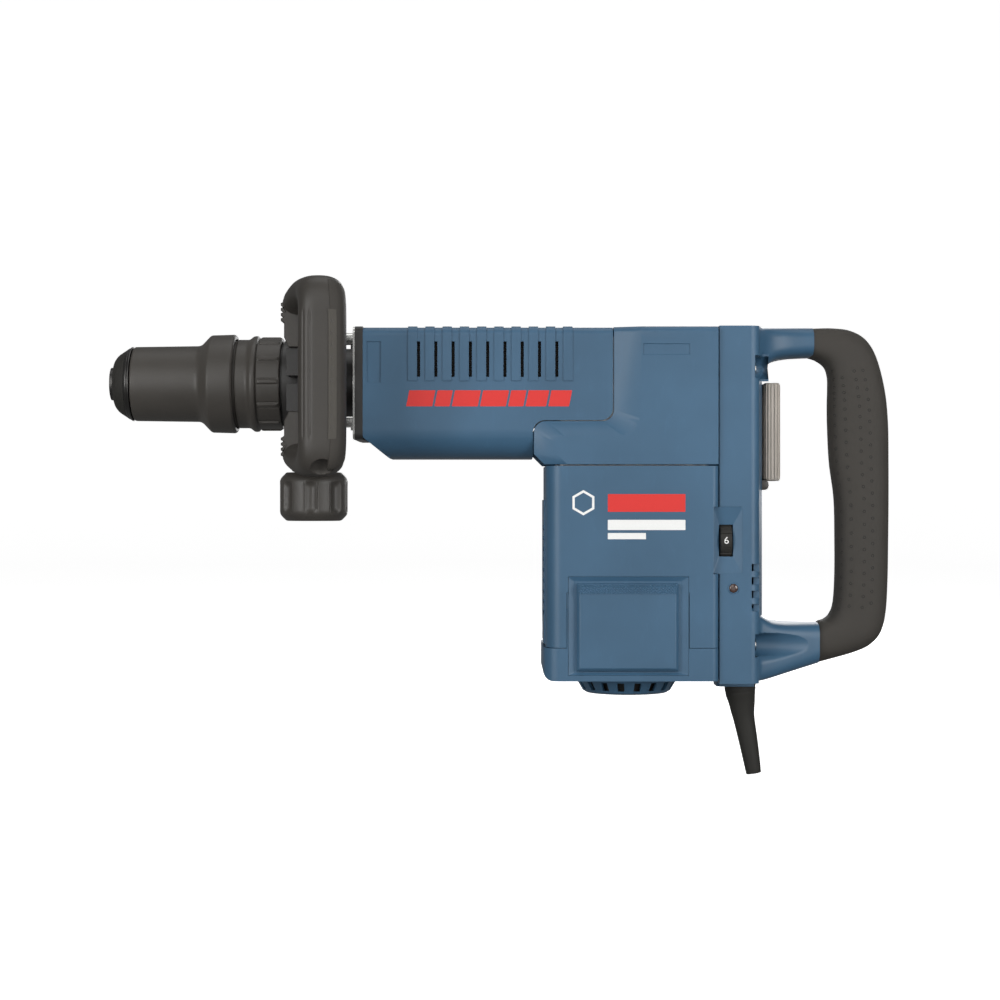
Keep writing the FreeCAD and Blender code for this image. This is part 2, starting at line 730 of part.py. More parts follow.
def make_connecting_rod():
    """Rod from the wrist pin to the crank pin, in the crank's plane."""
    body = new_body("connecting_rod")
    eye, big = size.wrist_x, size.wrist_x + size.rod_length
    sketch = box_outline(sketch_on(body, "XY_Plane"), eye, dim(-6), big, dim(6))
    pad(body, sketch, dim(12), middle=True)
    rod(body, eye, 0, dim(-8), dim(9), dim(16), UPRIGHT)
    rod(body, big, 0, dim(-8), dim(10.5), dim(16), UPRIGHT)
    rod_hole(body, eye, 0, dim(-9), dim(4.55), dim(18), UPRIGHT)
    rod_hole(body, big, 0, dim(-9), dim(6), dim(18), UPRIGHT)


def tooth_corners(teeth, addendum, backlash=0.09, steps=4):
    """One tooth that points along +X, as corners in modules: involute flanks on a 20 degree base circle."""
    pitch = teeth / 2
    base = pitch * math.cos(math.radians(20))
    flat = math.tan(math.radians(20)) - math.radians(20)
    half_at_pitch = math.pi / (2 * teeth) - backlash / (2 * pitch)
    root, tip = pitch - 1.25, pitch + addendum
    start = max(root, base)

    def half_angle(radius):
        pressure = math.acos(min(1.0, base / radius))
        return half_at_pitch + flat - (math.tan(pressure) - pressure)

    flank = [start + (tip - start) * i / steps for i in range(steps + 1)]
    upper = [(r * math.cos(half_angle(r)), r * math.sin(half_angle(r))) for r in flank]
    if start > root:
        inner = root - 0.1
        upper.insert(0, (inner * math.cos(half_angle(start)), inner * math.sin(half_angle(start))))
    else:
        upper[0] = ((root - 0.1) * math.cos(half_angle(root)), (root - 0.1) * math.sin(half_angle(root)))
    lower = [(x, -y) for x, y in upper]
    module = size.tooth_module
    return [(module * x, module * y) for x, y in lower + upper[::-1]]


def make_gear(label, teeth, addendum, low, high, bore, axis_x):
    """A spur gear about Z."""
    body = new_body(label)
    root = size.tooth_module * (teeth.value / 2 - 1.25)
    blank = disc(sketch_on(body, "XY_Plane", low), 0, 0, root)
    disc(blank, 0, 0, bore)
    pad(body, blank, high - low)
    tooth = outline(sketch_on(body, "XY_Plane", low), tooth_corners(teeth.value, addendum))
    around(body, [pad(body, tooth, high - low)], "Z_Axis", teeth)
    place(body, axis_x)


def make_crankshaft():
    """Shaft, web and pin. The pin stops short of the rod's big eye, which is the loop's open pivot."""
    body = turned("crankshaft", [
        (0, -75), (8, -75), (8, -47), (10, -47), (10, -35), (24, -35), (24, -20), (0, -20),
    ], "V_Axis")
    rod(body, -size.throw, 0, dim(-21), dim(5.5), dim(12.6), UPRIGHT)
    place(body, size.crank_x)


def bearing_ring(body, x, low, high, inner, outer):
    """A plain ring that stands for one ball bearing."""
    ring = disc(sketch_on(body, "XY_Plane", low), x, 0, outer)
    disc(ring, x, 0, inner)
    pad(body, ring, high - low)


def make_ball_bearings():
    """The crank's two bearings and the armature's two, as one group."""
    body = new_body("ball_bearings")
    bearing_ring(body, size.crank_x, dim(-74), dim(-64), dim(8.04), dim(16))
    bearing_ring(body, size.crank_x, dim(-46.8), dim(-36), dim(10.04), dim(17))
    bearing_ring(body, size.motor_x, dim(-76), dim(-66), dim(5.04), dim(13))
    bearing_ring(body, size.motor_x, dim(-220), dim(-211), dim(4.04), dim(11))


def make_gear_housing():
    """Cast housing: a barrel round the hammer tube and a crankcase behind it, open below."""
    body = turned("gear_housing", [
        (size.flange_back, size.tube_radius - 4), (size.tube_front, size.tube_radius - 4),
        (size.tube_front, size.tube_radius), (size.box_front + 4, size.tube_radius),
        (size.box_front + 4, size.barrel_radius), (size.flange_back, size.barrel_radius),
    ])
    flange = box_outline(sketch_on(body, "YZ_Plane", size.flange_back), -41.4, -37.6, 41.4, 36.2, dim(5))
    pad(body, flange, dim(8))
    crankcase = box_outline(
        sketch_on(body, "XY_Plane", size.box_bottom),
        size.box_front, -size.box_half, size.box_back, size.box_half, dim(6),
    )
    pad(body, crankcase, size.box_top - size.box_bottom)
    rod_hole(body, size.tube_front, 0, 0, size.tube_radius, size.box_front + 8 - size.tube_front, ALONG_X)
    rod_hole(body, size.flange_back - 1, 0, 0, size.tube_radius - 4, dim(10), ALONG_X)
    inner = size.box_half - 6
    cut_block(body, (size.box_front + 6, -inner, -35), (size.box_back - 3.2, inner, size.box_top - 6))
    cut_block(body, (size.box_front + 6, -inner, size.box_bottom - 1), (size.box_back - 3.2, inner, -47))
    rod_hole(body, size.crank_x, 0, dim(-50), dim(17), dim(16), UPRIGHT)
    bolt_holes(body, size.flange_back - 1, dim(13), dim(3))


def make_bearing_bridge():
    """Plate between the motor and the crankcase, with the seats of two bearings."""
    body = new_body("bearing_bridge")
    plate = box_outline(
        sketch_on(body, "XY_Plane", dim(-76)),
        size.box_front, -size.box_half, size.box_back, size.box_half, dim(6),
    )
    disc(plate, size.motor_x, 0, dim(13))
    disc(plate, size.crank_x, 0, dim(16))
    pad(body, plate, size.box_bottom + 76)


def make_mechanism():
    make_hammer_tube()
    make_impact_bolt()
    make_ram()
    make_piston()
    make_wrist_pin()
    make_connecting_rod()
    make_gear("crank_gear", size.gear_teeth, 0.7, size.gear_low, size.gear_high, dim(8), size.crank_x)
    make_crankshaft()
    make_ball_bearings()
    make_gear_housing()
    make_bearing_bridge()


def make_wrist_pin():
    body = new_body("wrist_pin")
    rod(body, size.wrist_x, 0, dim(-18.5), dim(4.5), dim(37), UPRIGHT)


# ---- motor ----------------------------------------------------------------------------------------

def make_armature():
    """Shaft, slotted stack, commutator, fan and pinion, which turn together."""
    upright("armature_shaft", [
        (0, -220), (4, -220), (4, -210), (5, -210), (5, -61.2), (2.5, -61.2), (2.5, -48), (0, -48),
    ])
    core = upright("armature_core", [
        (5, size.core_low), (size.core_radius, size.core_low), (size.core_radius, size.core_high),
        (5, size.core_high),
    ])
    slot = cut_block(core, (20, -1.5, size.core_low - 1), (size.core_radius + 1, 1.5, size.core_high + 1))
    around(core, [slot], "Z_Axis", 12)
    segments = upright("commutator", [
        (5, size.commutator_low), (size.commutator_radius, size.commutator_low),
        (size.commutator_radius, size.commutator_high), (17, size.commutator_high),
        (17, size.commutator_high + 3), (5, size.commutator_high + 3),
    ])
    gap = cut_block(segments, (14, -0.3, size.commutator_low - 1),
                    (16, 0.3, size.commutator_high))
    around(segments, [gap], "Z_Axis", 16)
    fan = upright("cooling_fan", [
        (5, -92), (11, -92), (11, -81.5), (size.fan_radius, -81.5), (size.fan_radius, -80), (5, -80),
    ])
    blade = block(fan, (17, -0.8, -92), (size.fan_radius - 1, 0.8, -81))
    around(fan, [blade], "Z_Axis", 12)
    make_gear("motor_pinion", size.pinion_teeth, 0.9, dim(-61), dim(-48), dim(2.5), size.motor_x)


def make_field():
    """Field stack and its two rings of windings, held in the motor housing."""
    upright("field_stack", [
        (size.stator_bore, size.core_low - 2), (size.stator_radius, size.core_low - 2),
        (size.stator_radius, size.core_high + 2), (size.stator_bore, size.core_high + 2),
    ])
    coils = upright("field_coils", [
        (30, size.core_high + 2), (44, size.core_high + 2), (44, size.core_high + 7),
        (41, size.core_high + 11), (33, size.core_high + 11), (30, size.core_high + 7),
    ])
    lower = outline(sketch_on(coils, "XZ_Plane"), [
        (30, size.core_low - 2), (30, size.core_low - 7), (33, size.core_low - 11),
        (41, size.core_low - 11), (44, size.core_low - 7), (44, size.core_low - 2),
    ])
    feature(coils, "Revolution", lower, ReferenceAxis=(lower, ["V_Axis"]), Angle=360.0)


def make_brush_gear():
    """Two carbon brushes in brass guides, each pressed on the commutator by its own spring."""
    holders, brushes = new_body("brush_holders"), new_body("carbon_brushes")
    springs = new_body("brush_springs")
    guide = block(holders, (size.motor_x - 6, 18, size.brush_z - 5), (size.motor_x + 6, 46, size.brush_z + 5))
    opening = cut_block(holders, (size.motor_x - 4, 17, size.brush_z - 3.2),
                        (size.motor_x + 4, 47, size.brush_z + 3.2))
    mirrored(holders, [guide, opening])
    brush = block(brushes, (size.motor_x - 3.9, size.commutator_radius + 0.3, size.brush_z - 3.1),
                  (size.motor_x + 3.9, 32, size.brush_z + 3.1))
    mirrored(brushes, [brush])
    sketch = sketch_on(springs, "XY_Plane", size.brush_z)
    disc(sketch, size.motor_x + 2.3, dim(32.5), dim(0.35))
    axis = springs.newObject("PartDesign::Line", "BrushAxis")
    axis.Placement = Placement(Vector(), ALONG_Y)
    bind(axis, "Placement.Base.x", size.motor_x)
    bind(axis, "Placement.Base.z", size.brush_z)
    helix = springs.newObject("PartDesign::AdditiveHelix", "Coil")
    helix.Profile = sketch
    helix.ReferenceAxis = (axis, [""])
    helix.Mode = 0
    bind(helix, "Pitch", dim(2))
    bind(helix, "Height", dim(12))
    mirrored(springs, [helix])


def make_motor():
    make_armature()
    make_field()
    make_brush_gear()


# ---- casings --------------------------------------------------------------------------------------

def cover_section(body, offset, inset):
    """The hammer cover's section across X: small corners above, large ones below."""
    half, top, bottom = size.cover_half - inset, size.cover_top - inset, size.cover_bottom + inset
    small, large = dim(6.5) - inset, dim(22) - inset
    return outline(sketch_on(body, "YZ_Plane", offset), [
        (half - large, bottom), (half, bottom + large, large), (half, top - small),
        (half - small, top, small), (small - half, top), (-half, top - small, small),
        (-half, bottom + large), (large - half, bottom, large),
    ])


def make_hammer_cover():
    """Shell over the gear housing's barrel, with cooling ribs and slots on both sides."""
    body = new_body("hammer_cover")
    front = size.flange_back
    pad(body, cover_section(body, front, 0), size.cover_back - front)
    wide = size.cover_half + size.rib_height
    rib_sketch = outline(sketch_on(body, "YZ_Plane", size.rib_first), [
        (-wide, 0), (wide, 0), (wide, size.cover_top + size.rib_height - 7.4),
        (wide - 7.4, size.cover_top + size.rib_height, 7.4),
        (7.4 - wide, size.cover_top + size.rib_height),
        (-wide, size.cover_top + size.rib_height - 7.4, 7.4),
    ])
    ribs = pad(body, rib_sketch, size.rib_width)
    along(body, [ribs], "X_Axis", size.rib_pitch * (size.rib_count - 1), size.rib_count)
    pocket(body, cover_section(body, front - 1, size.shell_wall), size.cover_back - front + 2, back=True)
    step = outline(sketch_on(body, "XZ_Plane"), [
        (size.cover_step_x, -70), (400, -70), (400, 0), (size.cover_back, 0),
        (size.cover_back, size.cover_step_z + 9), (size.cover_back - 9, size.cover_step_z, -9),
        (size.cover_step_x + 9, size.cover_step_z), (size.cover_step_x, size.cover_step_z - 9, 9),
    ])
    pocket(body, step, size.cover_half * 3, middle=True)
    chin = outline(sketch_on(body, "XZ_Plane"), [
        (190, -42), (front, -42), (215, -58), (215, -70), (190, -70),
    ])
    pocket(body, chin, size.cover_half * 3, middle=True)
    plate = outline(sketch_on(body, "XZ_Plane"), [(front, -42), (215, -57.5), (215, -53.5), (front, -38)])
    pad(body, plate, size.cover_half * 2 - 26, middle=True)
    slot_sketch = box_outline(
        sketch_on(body, "XZ_Plane"),
        size.rib_first + size.rib_pitch - 4.9 - size.slot_width / 2, size.slot_low,
        size.rib_first + size.rib_pitch - 4.9 + size.slot_width / 2, size.slot_high,
    )
    slot = pocket(body, slot_sketch, size.cover_half * 3, middle=True)
    along(body, [slot], "X_Axis", size.rib_pitch * (size.rib_count - 2), size.rib_count - 1)
    thumb = cut_block(body, (198.4, size.cover_half - 1.1, -1.1), (209, size.cover_half + 1, 29.4))
    mirrored(body, [thumb])


def crank_outline(body, offset, x, lower_x, z, radius, bulge):
    """The crank cover's side outline, whose front edge steps round the hammer cover's rear corner."""
    sketch = sketch_on(body, "XZ_Plane", offset)
    return outline(sketch, [
        (lower_x + 8, size.motor_top + 1.1), (size.body_back, size.motor_top + 1.1),
        (size.body_back, size.body_top), (x, size.body_top), (x, z + radius),
        (x - radius, z, -radius), (lower_x + bulge, z), (lower_x, z - bulge, bulge),
        (lower_x, size.motor_top + 9),
    ])


def on_top_rim(start, end):
    """True for the points of an edge that runs front to back along one side of the crank cover's top."""
    high = near(start.z, size.body_top) and near(end.z, size.body_top)
    outside = min(abs(start.y), abs(end.y)) > size.cover_half.value - 0.1
    return high and outside and abs(start.x - end.x) > 1


def make_crank_cover():
    """Wide shell over the crankcase. Its sloped front edge meets the narrower hammer cover."""
    body = new_body("crank_cover")
    near_x, near_low, near_z = size.cover_back + 0.6, size.cover_step_x + 0.6, size.cover_step_z - 0.6
    wide_x, wide_low, wide_z = near_x + 19.5, near_low + 17, near_z - 11.5
    core = crank_outline(body, 0, near_x, near_low, near_z, dim(8.4), dim(9))
    pad(body, core, size.cover_half * 2, middle=True)
    for side in (-1, 1):
        # the plane's normal points towards -Y
        inner = crank_outline(body, side * size.cover_half, near_x, near_low, near_z, dim(8.4), dim(9))
        outer = crank_outline(body, side * size.crank_half, wide_x, wide_low, wide_z, dim(14), dim(7))
        loft = body.newObject("PartDesign::AdditiveLoft", "Slope")
        loft.Profile = inner
        loft.Sections = [(outer, [""])]
        loft.Ruled = True
        doc.recompute()
        if "Up-to-date" not in loft.State:
            raise RuntimeError("crank_cover: the sloped side failed")
    rounded(body, dim(4.5), lambda e: on_top_rim(e.Vertexes[0].Point, e.Vertexes[-1].Point))
    wall = size.shell_wall
    inside = box_outline(sketch_on(body, "XZ_Plane"), 300, -80, size.body_back - wall, size.body_top - wall)
    pocket(body, inside, size.cover_half * 2 - wall * 2, middle=True)
    wide = crank_outline_inside(body, wide_x + wall, wide_low + wall, wide_z - wall)
    pocket(body, wide, size.crank_half * 2 - wall * 2, middle=True)
    mark = cut_block(body, (404.6, size.crank_half - 0.8, 19.1), (439.2, size.crank_half + 1, 27.2))
    mirrored(body, [mark])


def crank_outline_inside(body, x, lower_x, z):
    """The hollow between the crank cover's flat sides."""
    return outline(sketch_on(body, "XZ_Plane"), [
        (lower_x, -80), (size.body_back - size.shell_wall, -80),
        (size.body_back - size.shell_wall, size.body_top - size.shell_wall),
        (x, size.body_top - size.shell_wall), (x, z), (lower_x, z),
    ])


def housing_outline(body, offset, front, inset):
    """The outline of the motor housing or of its cap seen from above."""
    front, back, half = front + inset, size.body_back - inset, size.motor_half - inset
    large, small = dim(13) - inset, dim(5) - inset * 0.9
    return outline(sketch_on(body, "XY_Plane", offset), [
        (front + large, -half, large), (back - small, -half), (back, small - half, small),
        (back, half - small), (back - small, half, small), (front + large, half),
        (front, half - large, large), (front, large - half),
    ])


def sunk_frame(body):
    """Takes the sunk frames of the two brush covers out of a shell's sides."""
    low, high = size.motor_half - size.hatch_depth, size.motor_half + 1
    cut = cut_block(body, (size.hatch_front, low, size.hatch_bottom),
                    (size.hatch_back, high, size.hatch_top))
    mirrored(body, [cut])


def make_motor_housing():
    """Upright tube of the motor, with the ends of its sides cut out for the lower cap's tongues."""
    body = new_body("motor_housing")
    pad(body, housing_outline(body, size.motor_seam, size.body_front, 0), size.motor_top - size.motor_seam)
    block(body, (size.vent_front, -32, -197), (size.body_front + 1, 32, -89))
    pocket(body, housing_outline(body, size.motor_seam - 1, size.body_front, size.motor_wall),
           size.motor_top - size.motor_seam + 2, back=True)
    rim = size.motor_half - size.motor_wall - 1
    tongue = cut_block(body, (size.tongue_front, rim, size.motor_seam - 1),
                       (size.tongue_back, size.motor_half + 1, size.tongue_top))
    mirrored(body, [tongue])
    sunk_frame(body)
    recess = (size.dial_notch, -size.motor_half - 1, -144), (size.body_back + 1, 3 - size.frame_half, -94)
    cut_block(body, *recess)
    slit = cut_block(body, (size.vent_front - 1, -30, -112), (size.body_front + size.motor_wall + 1, 30, -108.5))
    along(body, [slit], "Z_Axis", dim(64), dim(9), down=True)


def make_lower_cap():
    """Cap under the motor. Its side tongues carry the brush covers and its boss the lower bearing."""
    body = new_body("lower_cap")
    top = size.motor_seam - 0.4
    pad(body, housing_outline(body, size.motor_bottom, size.cap_front, 0), top - size.motor_bottom)
    corner = outline(sketch_on(body, "XZ_Plane"), [
        (size.cap_front - 1, size.motor_bottom - 1), (size.cap_front + 7.5, size.motor_bottom - 1),
        (size.cap_front + 7.5, size.motor_bottom), (size.cap_front, size.motor_bottom + 7.5, -7.5),
        (size.cap_front - 1, size.motor_bottom + 7.5),
    ])
    pocket(body, corner, size.motor_half * 3, middle=True)
    pocket(body, housing_outline(body, size.motor_bottom + 3.5, size.cap_front, size.motor_wall),
           top - size.motor_bottom, back=True)
    wall = size.motor_half - size.motor_wall
    tongue = block(body, (size.tongue_front + 0.4, wall, top - 1),
                   (size.tongue_back - 0.4, size.motor_half, size.tongue_top - 0.4))
    mirrored(body, [tongue])
    sunk_frame(body)
    boss = disc(sketch_on(body, "XY_Plane", size.motor_bottom + 3), size.motor_x, 0, dim(14))
    pad(body, boss, dim(11.5))
    rod_hole(body, size.motor_x, 0, size.motor_bottom + 3.7, dim(11), dim(12), UPRIGHT)
    for x in (-25, 25):
        rod_hole(body, size.motor_x + x, 0, size.motor_bottom - 1, dim(5.5), dim(6), UPRIGHT)
    for y in (-25, 25):
        rod_hole(body, size.motor_x, y, size.motor_bottom - 1, dim(5.5), dim(6), UPRIGHT)


def make_brush_cover(label, side):
    """Screwed cover over one carbon brush, with a raised panel and a knurled finger strip."""
    body = new_body(label)
    seat = size.motor_half - size.hatch_depth
    slack = dim(0.4)

    def slab(low, high, x0, z0, x1, z1):
        ys = sorted([low * side, high * side], key=lambda d: d.value)
        return block(body, (x0, ys[0], z0), (x1, ys[1], z1))

    slab(seat, seat + 1.3, size.hatch_front + slack, size.hatch_bottom + slack,
         size.hatch_back - slack, size.hatch_top - slack)
    slab(seat, size.motor_half + 3.6, dim(355), dim(-216), dim(430.5), dim(-151))
    doc.recompute()
    face = (size.motor_half.value + 3.6) * side
    rounded(body, dim(2.2), lambda e: near(e.CenterOfMass.y, Dim(face, "")) and e.Length > 5, "Chamfer")


def make_air_grille():
    """Round intake grille under the motor."""
    floor = size.motor_bottom
    body = upright("air_intake_grille", [
        (16, floor - 0.05), (39.3, floor - 0.05), (38.2, floor - 3), (33.6, floor - 10.6), (31, floor - 12.2),
        (0, floor - 12.2), (0, floor - 10), (30.2, floor - 10), (35.8, floor - 2.4), (16, floor - 2.4),
    ])
    window = cut_block(body, (30.4, -2.6, floor - 9.4), (40, 2.6, floor - 3))
    around(body, [window], "Z_Axis", 18)


# ---- rear frame, grip and controls ------------------------------------------------------------------

def make_rear_frame():
    """Rear half of the casing, with the handle's two arms and the seats of switch, dial and cord."""
    body = new_body("rear_frame")
    half, back = size.frame_half, size.frame_back
    bottom, top = size.frame_bottom, size.frame_top

    def section(offset, inset):
        return outline(sketch_on(body, "XY_Plane", offset), [
            (size.frame_front - inset * 0.5, inset - half), (485, inset - half),
            (491.5 - inset, inset + 4 - half, dim(8) - inset * 0.5), (back - inset, inset * 0.4 - 22),
            (back - inset, 22 - inset * 0.4), (491.5 - inset, half - 4 - inset),
            (485, half - inset, dim(8) - inset * 0.5), (size.frame_front - inset * 0.5, half - inset),
        ])

    pad(body, section(bottom, 0), top - bottom)
    pocket(body, section(bottom + 3, 3), top - bottom - 6, back=True)
    upper = outline(sketch_on(body, "XZ_Plane"), [
        (back - 2, 6), (back + 4, 14), (back + 14, 18.6), (size.upper_arm_end - 3, size.upper_arm_low),
        (size.upper_arm_end, top + 0.6), (back - 2, top - 0.1),
    ])
    pad(body, upper, size.arm_half * 2, middle=True)
    lower = outline(sketch_on(body, "XY_Plane", bottom), [
        (491, -43.6), (size.lower_arm_end, -21.5), (size.lower_arm_end, 21.5), (491, 43.6),
    ])
    pad(body, lower, size.lower_arm_high - bottom)
    under = outline(sketch_on(body, "XZ_Plane"), [
        (back, bottom), (size.lower_arm_end + 1, -213.2), (size.lower_arm_end + 1, bottom - 2),
        (back, bottom - 2),
    ])
    pocket(body, under, dim(100), middle=True)
    lip = box_outline(sketch_on(body, "XY_Plane", bottom - 5), 463, -15, 495, 15, dim(5))
    pad(body, lip, dim(6))
    rod_hole(body, size.cord_x, 0, bottom - 6, size.cord_top_radius, dim(12), UPRIGHT)
    for y in (-33, 33):
        for z in (9.7, -197.5):
            rod(body, dim(474), y, z, dim(11), dim(16), ALONG_X)
            rod_hole(body, dim(486.5), y, z, dim(8.8), dim(60), ALONG_X)
            rod_hole(body, dim(473), y, z, dim(2.2), dim(15), ALONG_X)
    cut_block(body, (back - 8, -18, size.hinge_z - 5), (back + 2, 18, size.paddle_top + 2))
    for y in (-22, 18):
        block(body, (back - 3.5, y, size.hinge_z - 4), (size.hinge_x + 3.6, y + 4, size.hinge_z + 4))
        rod_hole(body, size.hinge_x, y - 1, size.hinge_z, dim(1.6), dim(6), ALONG_Y)
    block(body, (size.frame_front, 2.5 - half, -147), (483, 12 - half, -90))
    cut_block(body, (size.frame_front - 1, -half - 1, -142.6), (478, 3 - half, -94))
    cut_block(body, (size.dial_x - 5.2, -half - 1, size.dial_z - 16.6), (size.dial_x + 5.2, 13 - half, size.dial_z + 16.6))
    rod_hole(body, size.lamp_x, -half - 1, size.lamp_z, size.lamp_radius, dim(6), ALONG_Y)
    notch = cut_block(body, (485.5, half - 5, -142), (498, half + 1, -136.6))
    other = cut_block(body, (485.5, -half - 1, -142), (498, 5 - half, -136.6))
    along(body, [notch, other], "Z_Axis", dim(30), dim(4), down=True)


def make_handle_grip():
    """Rubber grip moulded over the back of the closed handle."""
    body = new_body("handle_grip")
    back, front = size.grip_back, size.grip_front
    end_x, top_end = size.lower_arm_end, size.upper_arm_end
    pad(body, outline(sketch_on(body, "XZ_Plane"), [
        (top_end + 0.3, size.grip_top), (562, size.grip_top), (587, 20, -26.5), (back, -28, -150),
        (back, -150), (591.5, -188, -160), (576, -203.3, -22), (end_x + 0.3, size.grip_bottom),
        (end_x + 0.3, size.lower_arm_high - 0.6), (549, -180.4), (front - 1.5, -172, 11),
        (front, -160), (front, -86), (549.5, -34, -300), (549.5, 8), (545, 15.6, 9),
        (top_end - 2.7, size.upper_arm_low),
    ]), size.grip_half * 2, middle=True)


def make_handle_screws():
    """Four screws that hold the rear frame to the motor housing, sunk in round recesses."""
    body = new_body("handle_screws")
    for y in (-33, 33):
        for z in (9.7, -197.5):
            rod(body, dim(486.5), y, z, dim(4.6), dim(3.6), ALONG_X)
            rod(body, dim(466), y, z, dim(2.2), dim(21), ALONG_X)
            rod_hole(body, dim(487.8), y, z, dim(2.1), dim(3), ALONG_X)


def make_switch():
    """Long paddle, its hinge pin, the switch that it presses and the spring that lifts it."""
    body = new_body("switch_paddle")
    front, back, half = size.paddle_front, size.paddle_back, size.paddle_half
    pad(body, outline(sketch_on(body, "XY_Plane", size.paddle_bottom), [
        (front, -half), (back - 7, -half), (back, 7 - half, 7), (back, half - 7), (back - 7, half, 7),
        (front, half),
    ]), size.paddle_top - size.paddle_bottom)
    for y in (-8.4, -4.2, 0, 4.2, 8.4):
        cut_block(body, (back - 1.2, y - 0.7, size.paddle_bottom - 1),
                  (back + 1, y + 0.7, size.paddle_top + 1))
    rod(body, size.hinge_x, -half, size.hinge_z, dim(3.6), half * 2, ALONG_Y)
    rod_hole(body, size.hinge_x, -half - 1, size.hinge_z, dim(1.65), half * 2 + 2, ALONG_Y)
    pin = new_body("paddle_pin")
    rod(pin, size.hinge_x, -half - 4.6, size.hinge_z, dim(1.6), half * 2 + 9.2, ALONG_Y)
    block_body = new_body("switch_block")
    block(block_body, (465, -12, -48), (485, 12, -12))
    place(coil("paddle_spring", dim(4), dim(0.8), dim(486.6), dim(9), dim(2)), 0, 0, -30)


def make_dial():
    """Thumb wheel that sets the speed, with the stub shaft that turns the control module's potentiometer."""
    wheel = new_body("speed_dial")
    half = size.dial_width / 2
    pad(wheel, disc(sketch_on(wheel, "YZ_Plane", size.dial_x - half), 0, 0, size.dial_radius),
        size.dial_width)
    rod(wheel, size.dial_x + half, 0, 0, dim(2), dim(8), ALONG_X)
    notch = rod_hole(wheel, size.dial_x - half - 1, size.dial_radius + 0.8, 0, dim(1.6),
                     size.dial_width + 2, ALONG_X)
    around(wheel, [notch], "X_Axis", 20)
    place(wheel, 0, size.dial_y, size.dial_z)


def make_electronics():
    lens = new_body("indicator_lens")
    rod(lens, size.lamp_x, -size.frame_half - 0.6, size.lamp_z, size.lamp_radius - 0.05, dim(5), ALONG_Y)
    module = new_body("control_module")
    block(module, (465, -20, -182), (485, 30, -150))
    block(module, (473.4, -35, -151), (481, -19, -112))
    rod_hole(module, dim(472), size.dial_y, size.dial_z, dim(2.06), dim(10), ALONG_X)


def make_cord_sleeve():
    """Tapered rubber sleeve that keeps the mains cord from kinking. The cord itself is not part of it."""
    body = new_body("cord_sleeve")
    start = size.frame_bottom - 2.5
    rings = []
    run = size.cord_end_x - size.cord_x
    for share, bend, radius in ((0, 0, 0), (0.16, 0.0, 0.02), (0.4, 0.13, 0.3), (0.65, 0.4, 0.62),
                                (0.86, 0.74, 0.87), (1, 1, 1)):
        level = start + (size.cord_end_z - start) * share
        swell = size.cord_top_radius - 0.05 - (size.cord_top_radius - 0.05 - size.cord_end_radius) * radius
        rings.append(disc(sketch_on(body, "XY_Plane", level), size.cord_x + run * bend, 0, swell))
    loft = body.newObject("PartDesign::AdditiveLoft", "Taper")
    loft.Profile = rings[0]
    loft.Sections = [(ring, [""]) for ring in rings[1:]]
    loft.Ruled = False
    doc.recompute()
    lean = Rotation(Y, 180 - 14.5)
    rod_hole(body, size.cord_x + 1.2, 0, start - 34, size.cord_bore, dim(45), lean)
    rod_hole(body, size.cord_x, 0, start - 37, size.cord_bore, dim(40), UPRIGHT)


# ---- side handle -------------------------------------------------------------------------------------

def make_clamp_band():
    """Split steel band that grips the front housing's seat."""
    body = new_body("clamp_band")
    ring = disc(sketch_on(body, "YZ_Plane", size.band_front), 0, 0, size.band_radius)
    disc(ring, 0, 0, size.seat_radius + 0.05)
    pad(body, ring, size.band_back - size.band_front)
    ears = box_outline(sketch_on(body, "YZ_Plane", size.band_front), -60, -23.5, -35, 23.5)
    pad(body, ears, size.band_back - size.band_front)
    cut_block(body, (size.band_front - 1, -61, -3), (size.band_back + 1, -20, 3))
    rod_hole(body, size.side_bolt_x, size.side_bolt_y, dim(-25), dim(4.2), dim(50), UPRIGHT)


def make_side_handle():
    """Stiff D-shaped frame of the side handle, with toothed feet above and below the band's ears."""
    body = new_body("side_handle_frame")
    half, outer = size.loop_half, size.loop_outer
    loop = outline(sketch_on(body, "YZ_Plane", size.loop_front), [
        (-92, -half), (-72, -66), (-35, -66), (-35, -24), (-64, -24), (-64, -44),
        (-70, -size.loop_window, -6), (size.loop_inner + 8, -size.loop_window),
        (size.loop_inner, 8 - size.loop_window, -8), (size.loop_inner, size.loop_window - 8),
        (size.loop_inner + 8, size.loop_window, -8), (-70, size.loop_window),
        (-64, 44, -6), (-64, 24), (-35, 24), (-35, 66), (-72, 66), (-92, half), (outer + 20, half),
        (outer, half - 20, 20), (outer, 20 - half), (outer + 20, -half, 20),
    ])
    pad(body, loop, size.loop_back - size.loop_front - 8)
    for side in (-1, 1):
        zs = sorted([24 * side, 62 * side])
        block(body, (136, -64, zs[0]), (size.loop_front + 1, -36, zs[1]))
        for level in range(4):
            z = (29 + level * 9) * side
            cut_block(body, (135, -65, z - 1.2), (138.5, -35, z + 1.2))
    rod_hole(body, size.side_bolt_x, size.side_bolt_y, -half - 5, dim(4.2), half * 2 + 10, UPRIGHT)


def make_side_grip():
    """Rubber back of the side handle's bar, where the palm lies."""
    body = new_body("side_grip")
    outer, inner, half = size.loop_outer, size.loop_inner, size.loop_half
    pad(body, outline(sketch_on(body, "YZ_Plane", size.loop_back - 8), [
        (inner + 6, -half), (inner + 6, half), (outer + 20, half),
        (outer, half - 20, 20), (outer, 20 - half), (outer + 20, -half, 20),
    ]), dim(8))


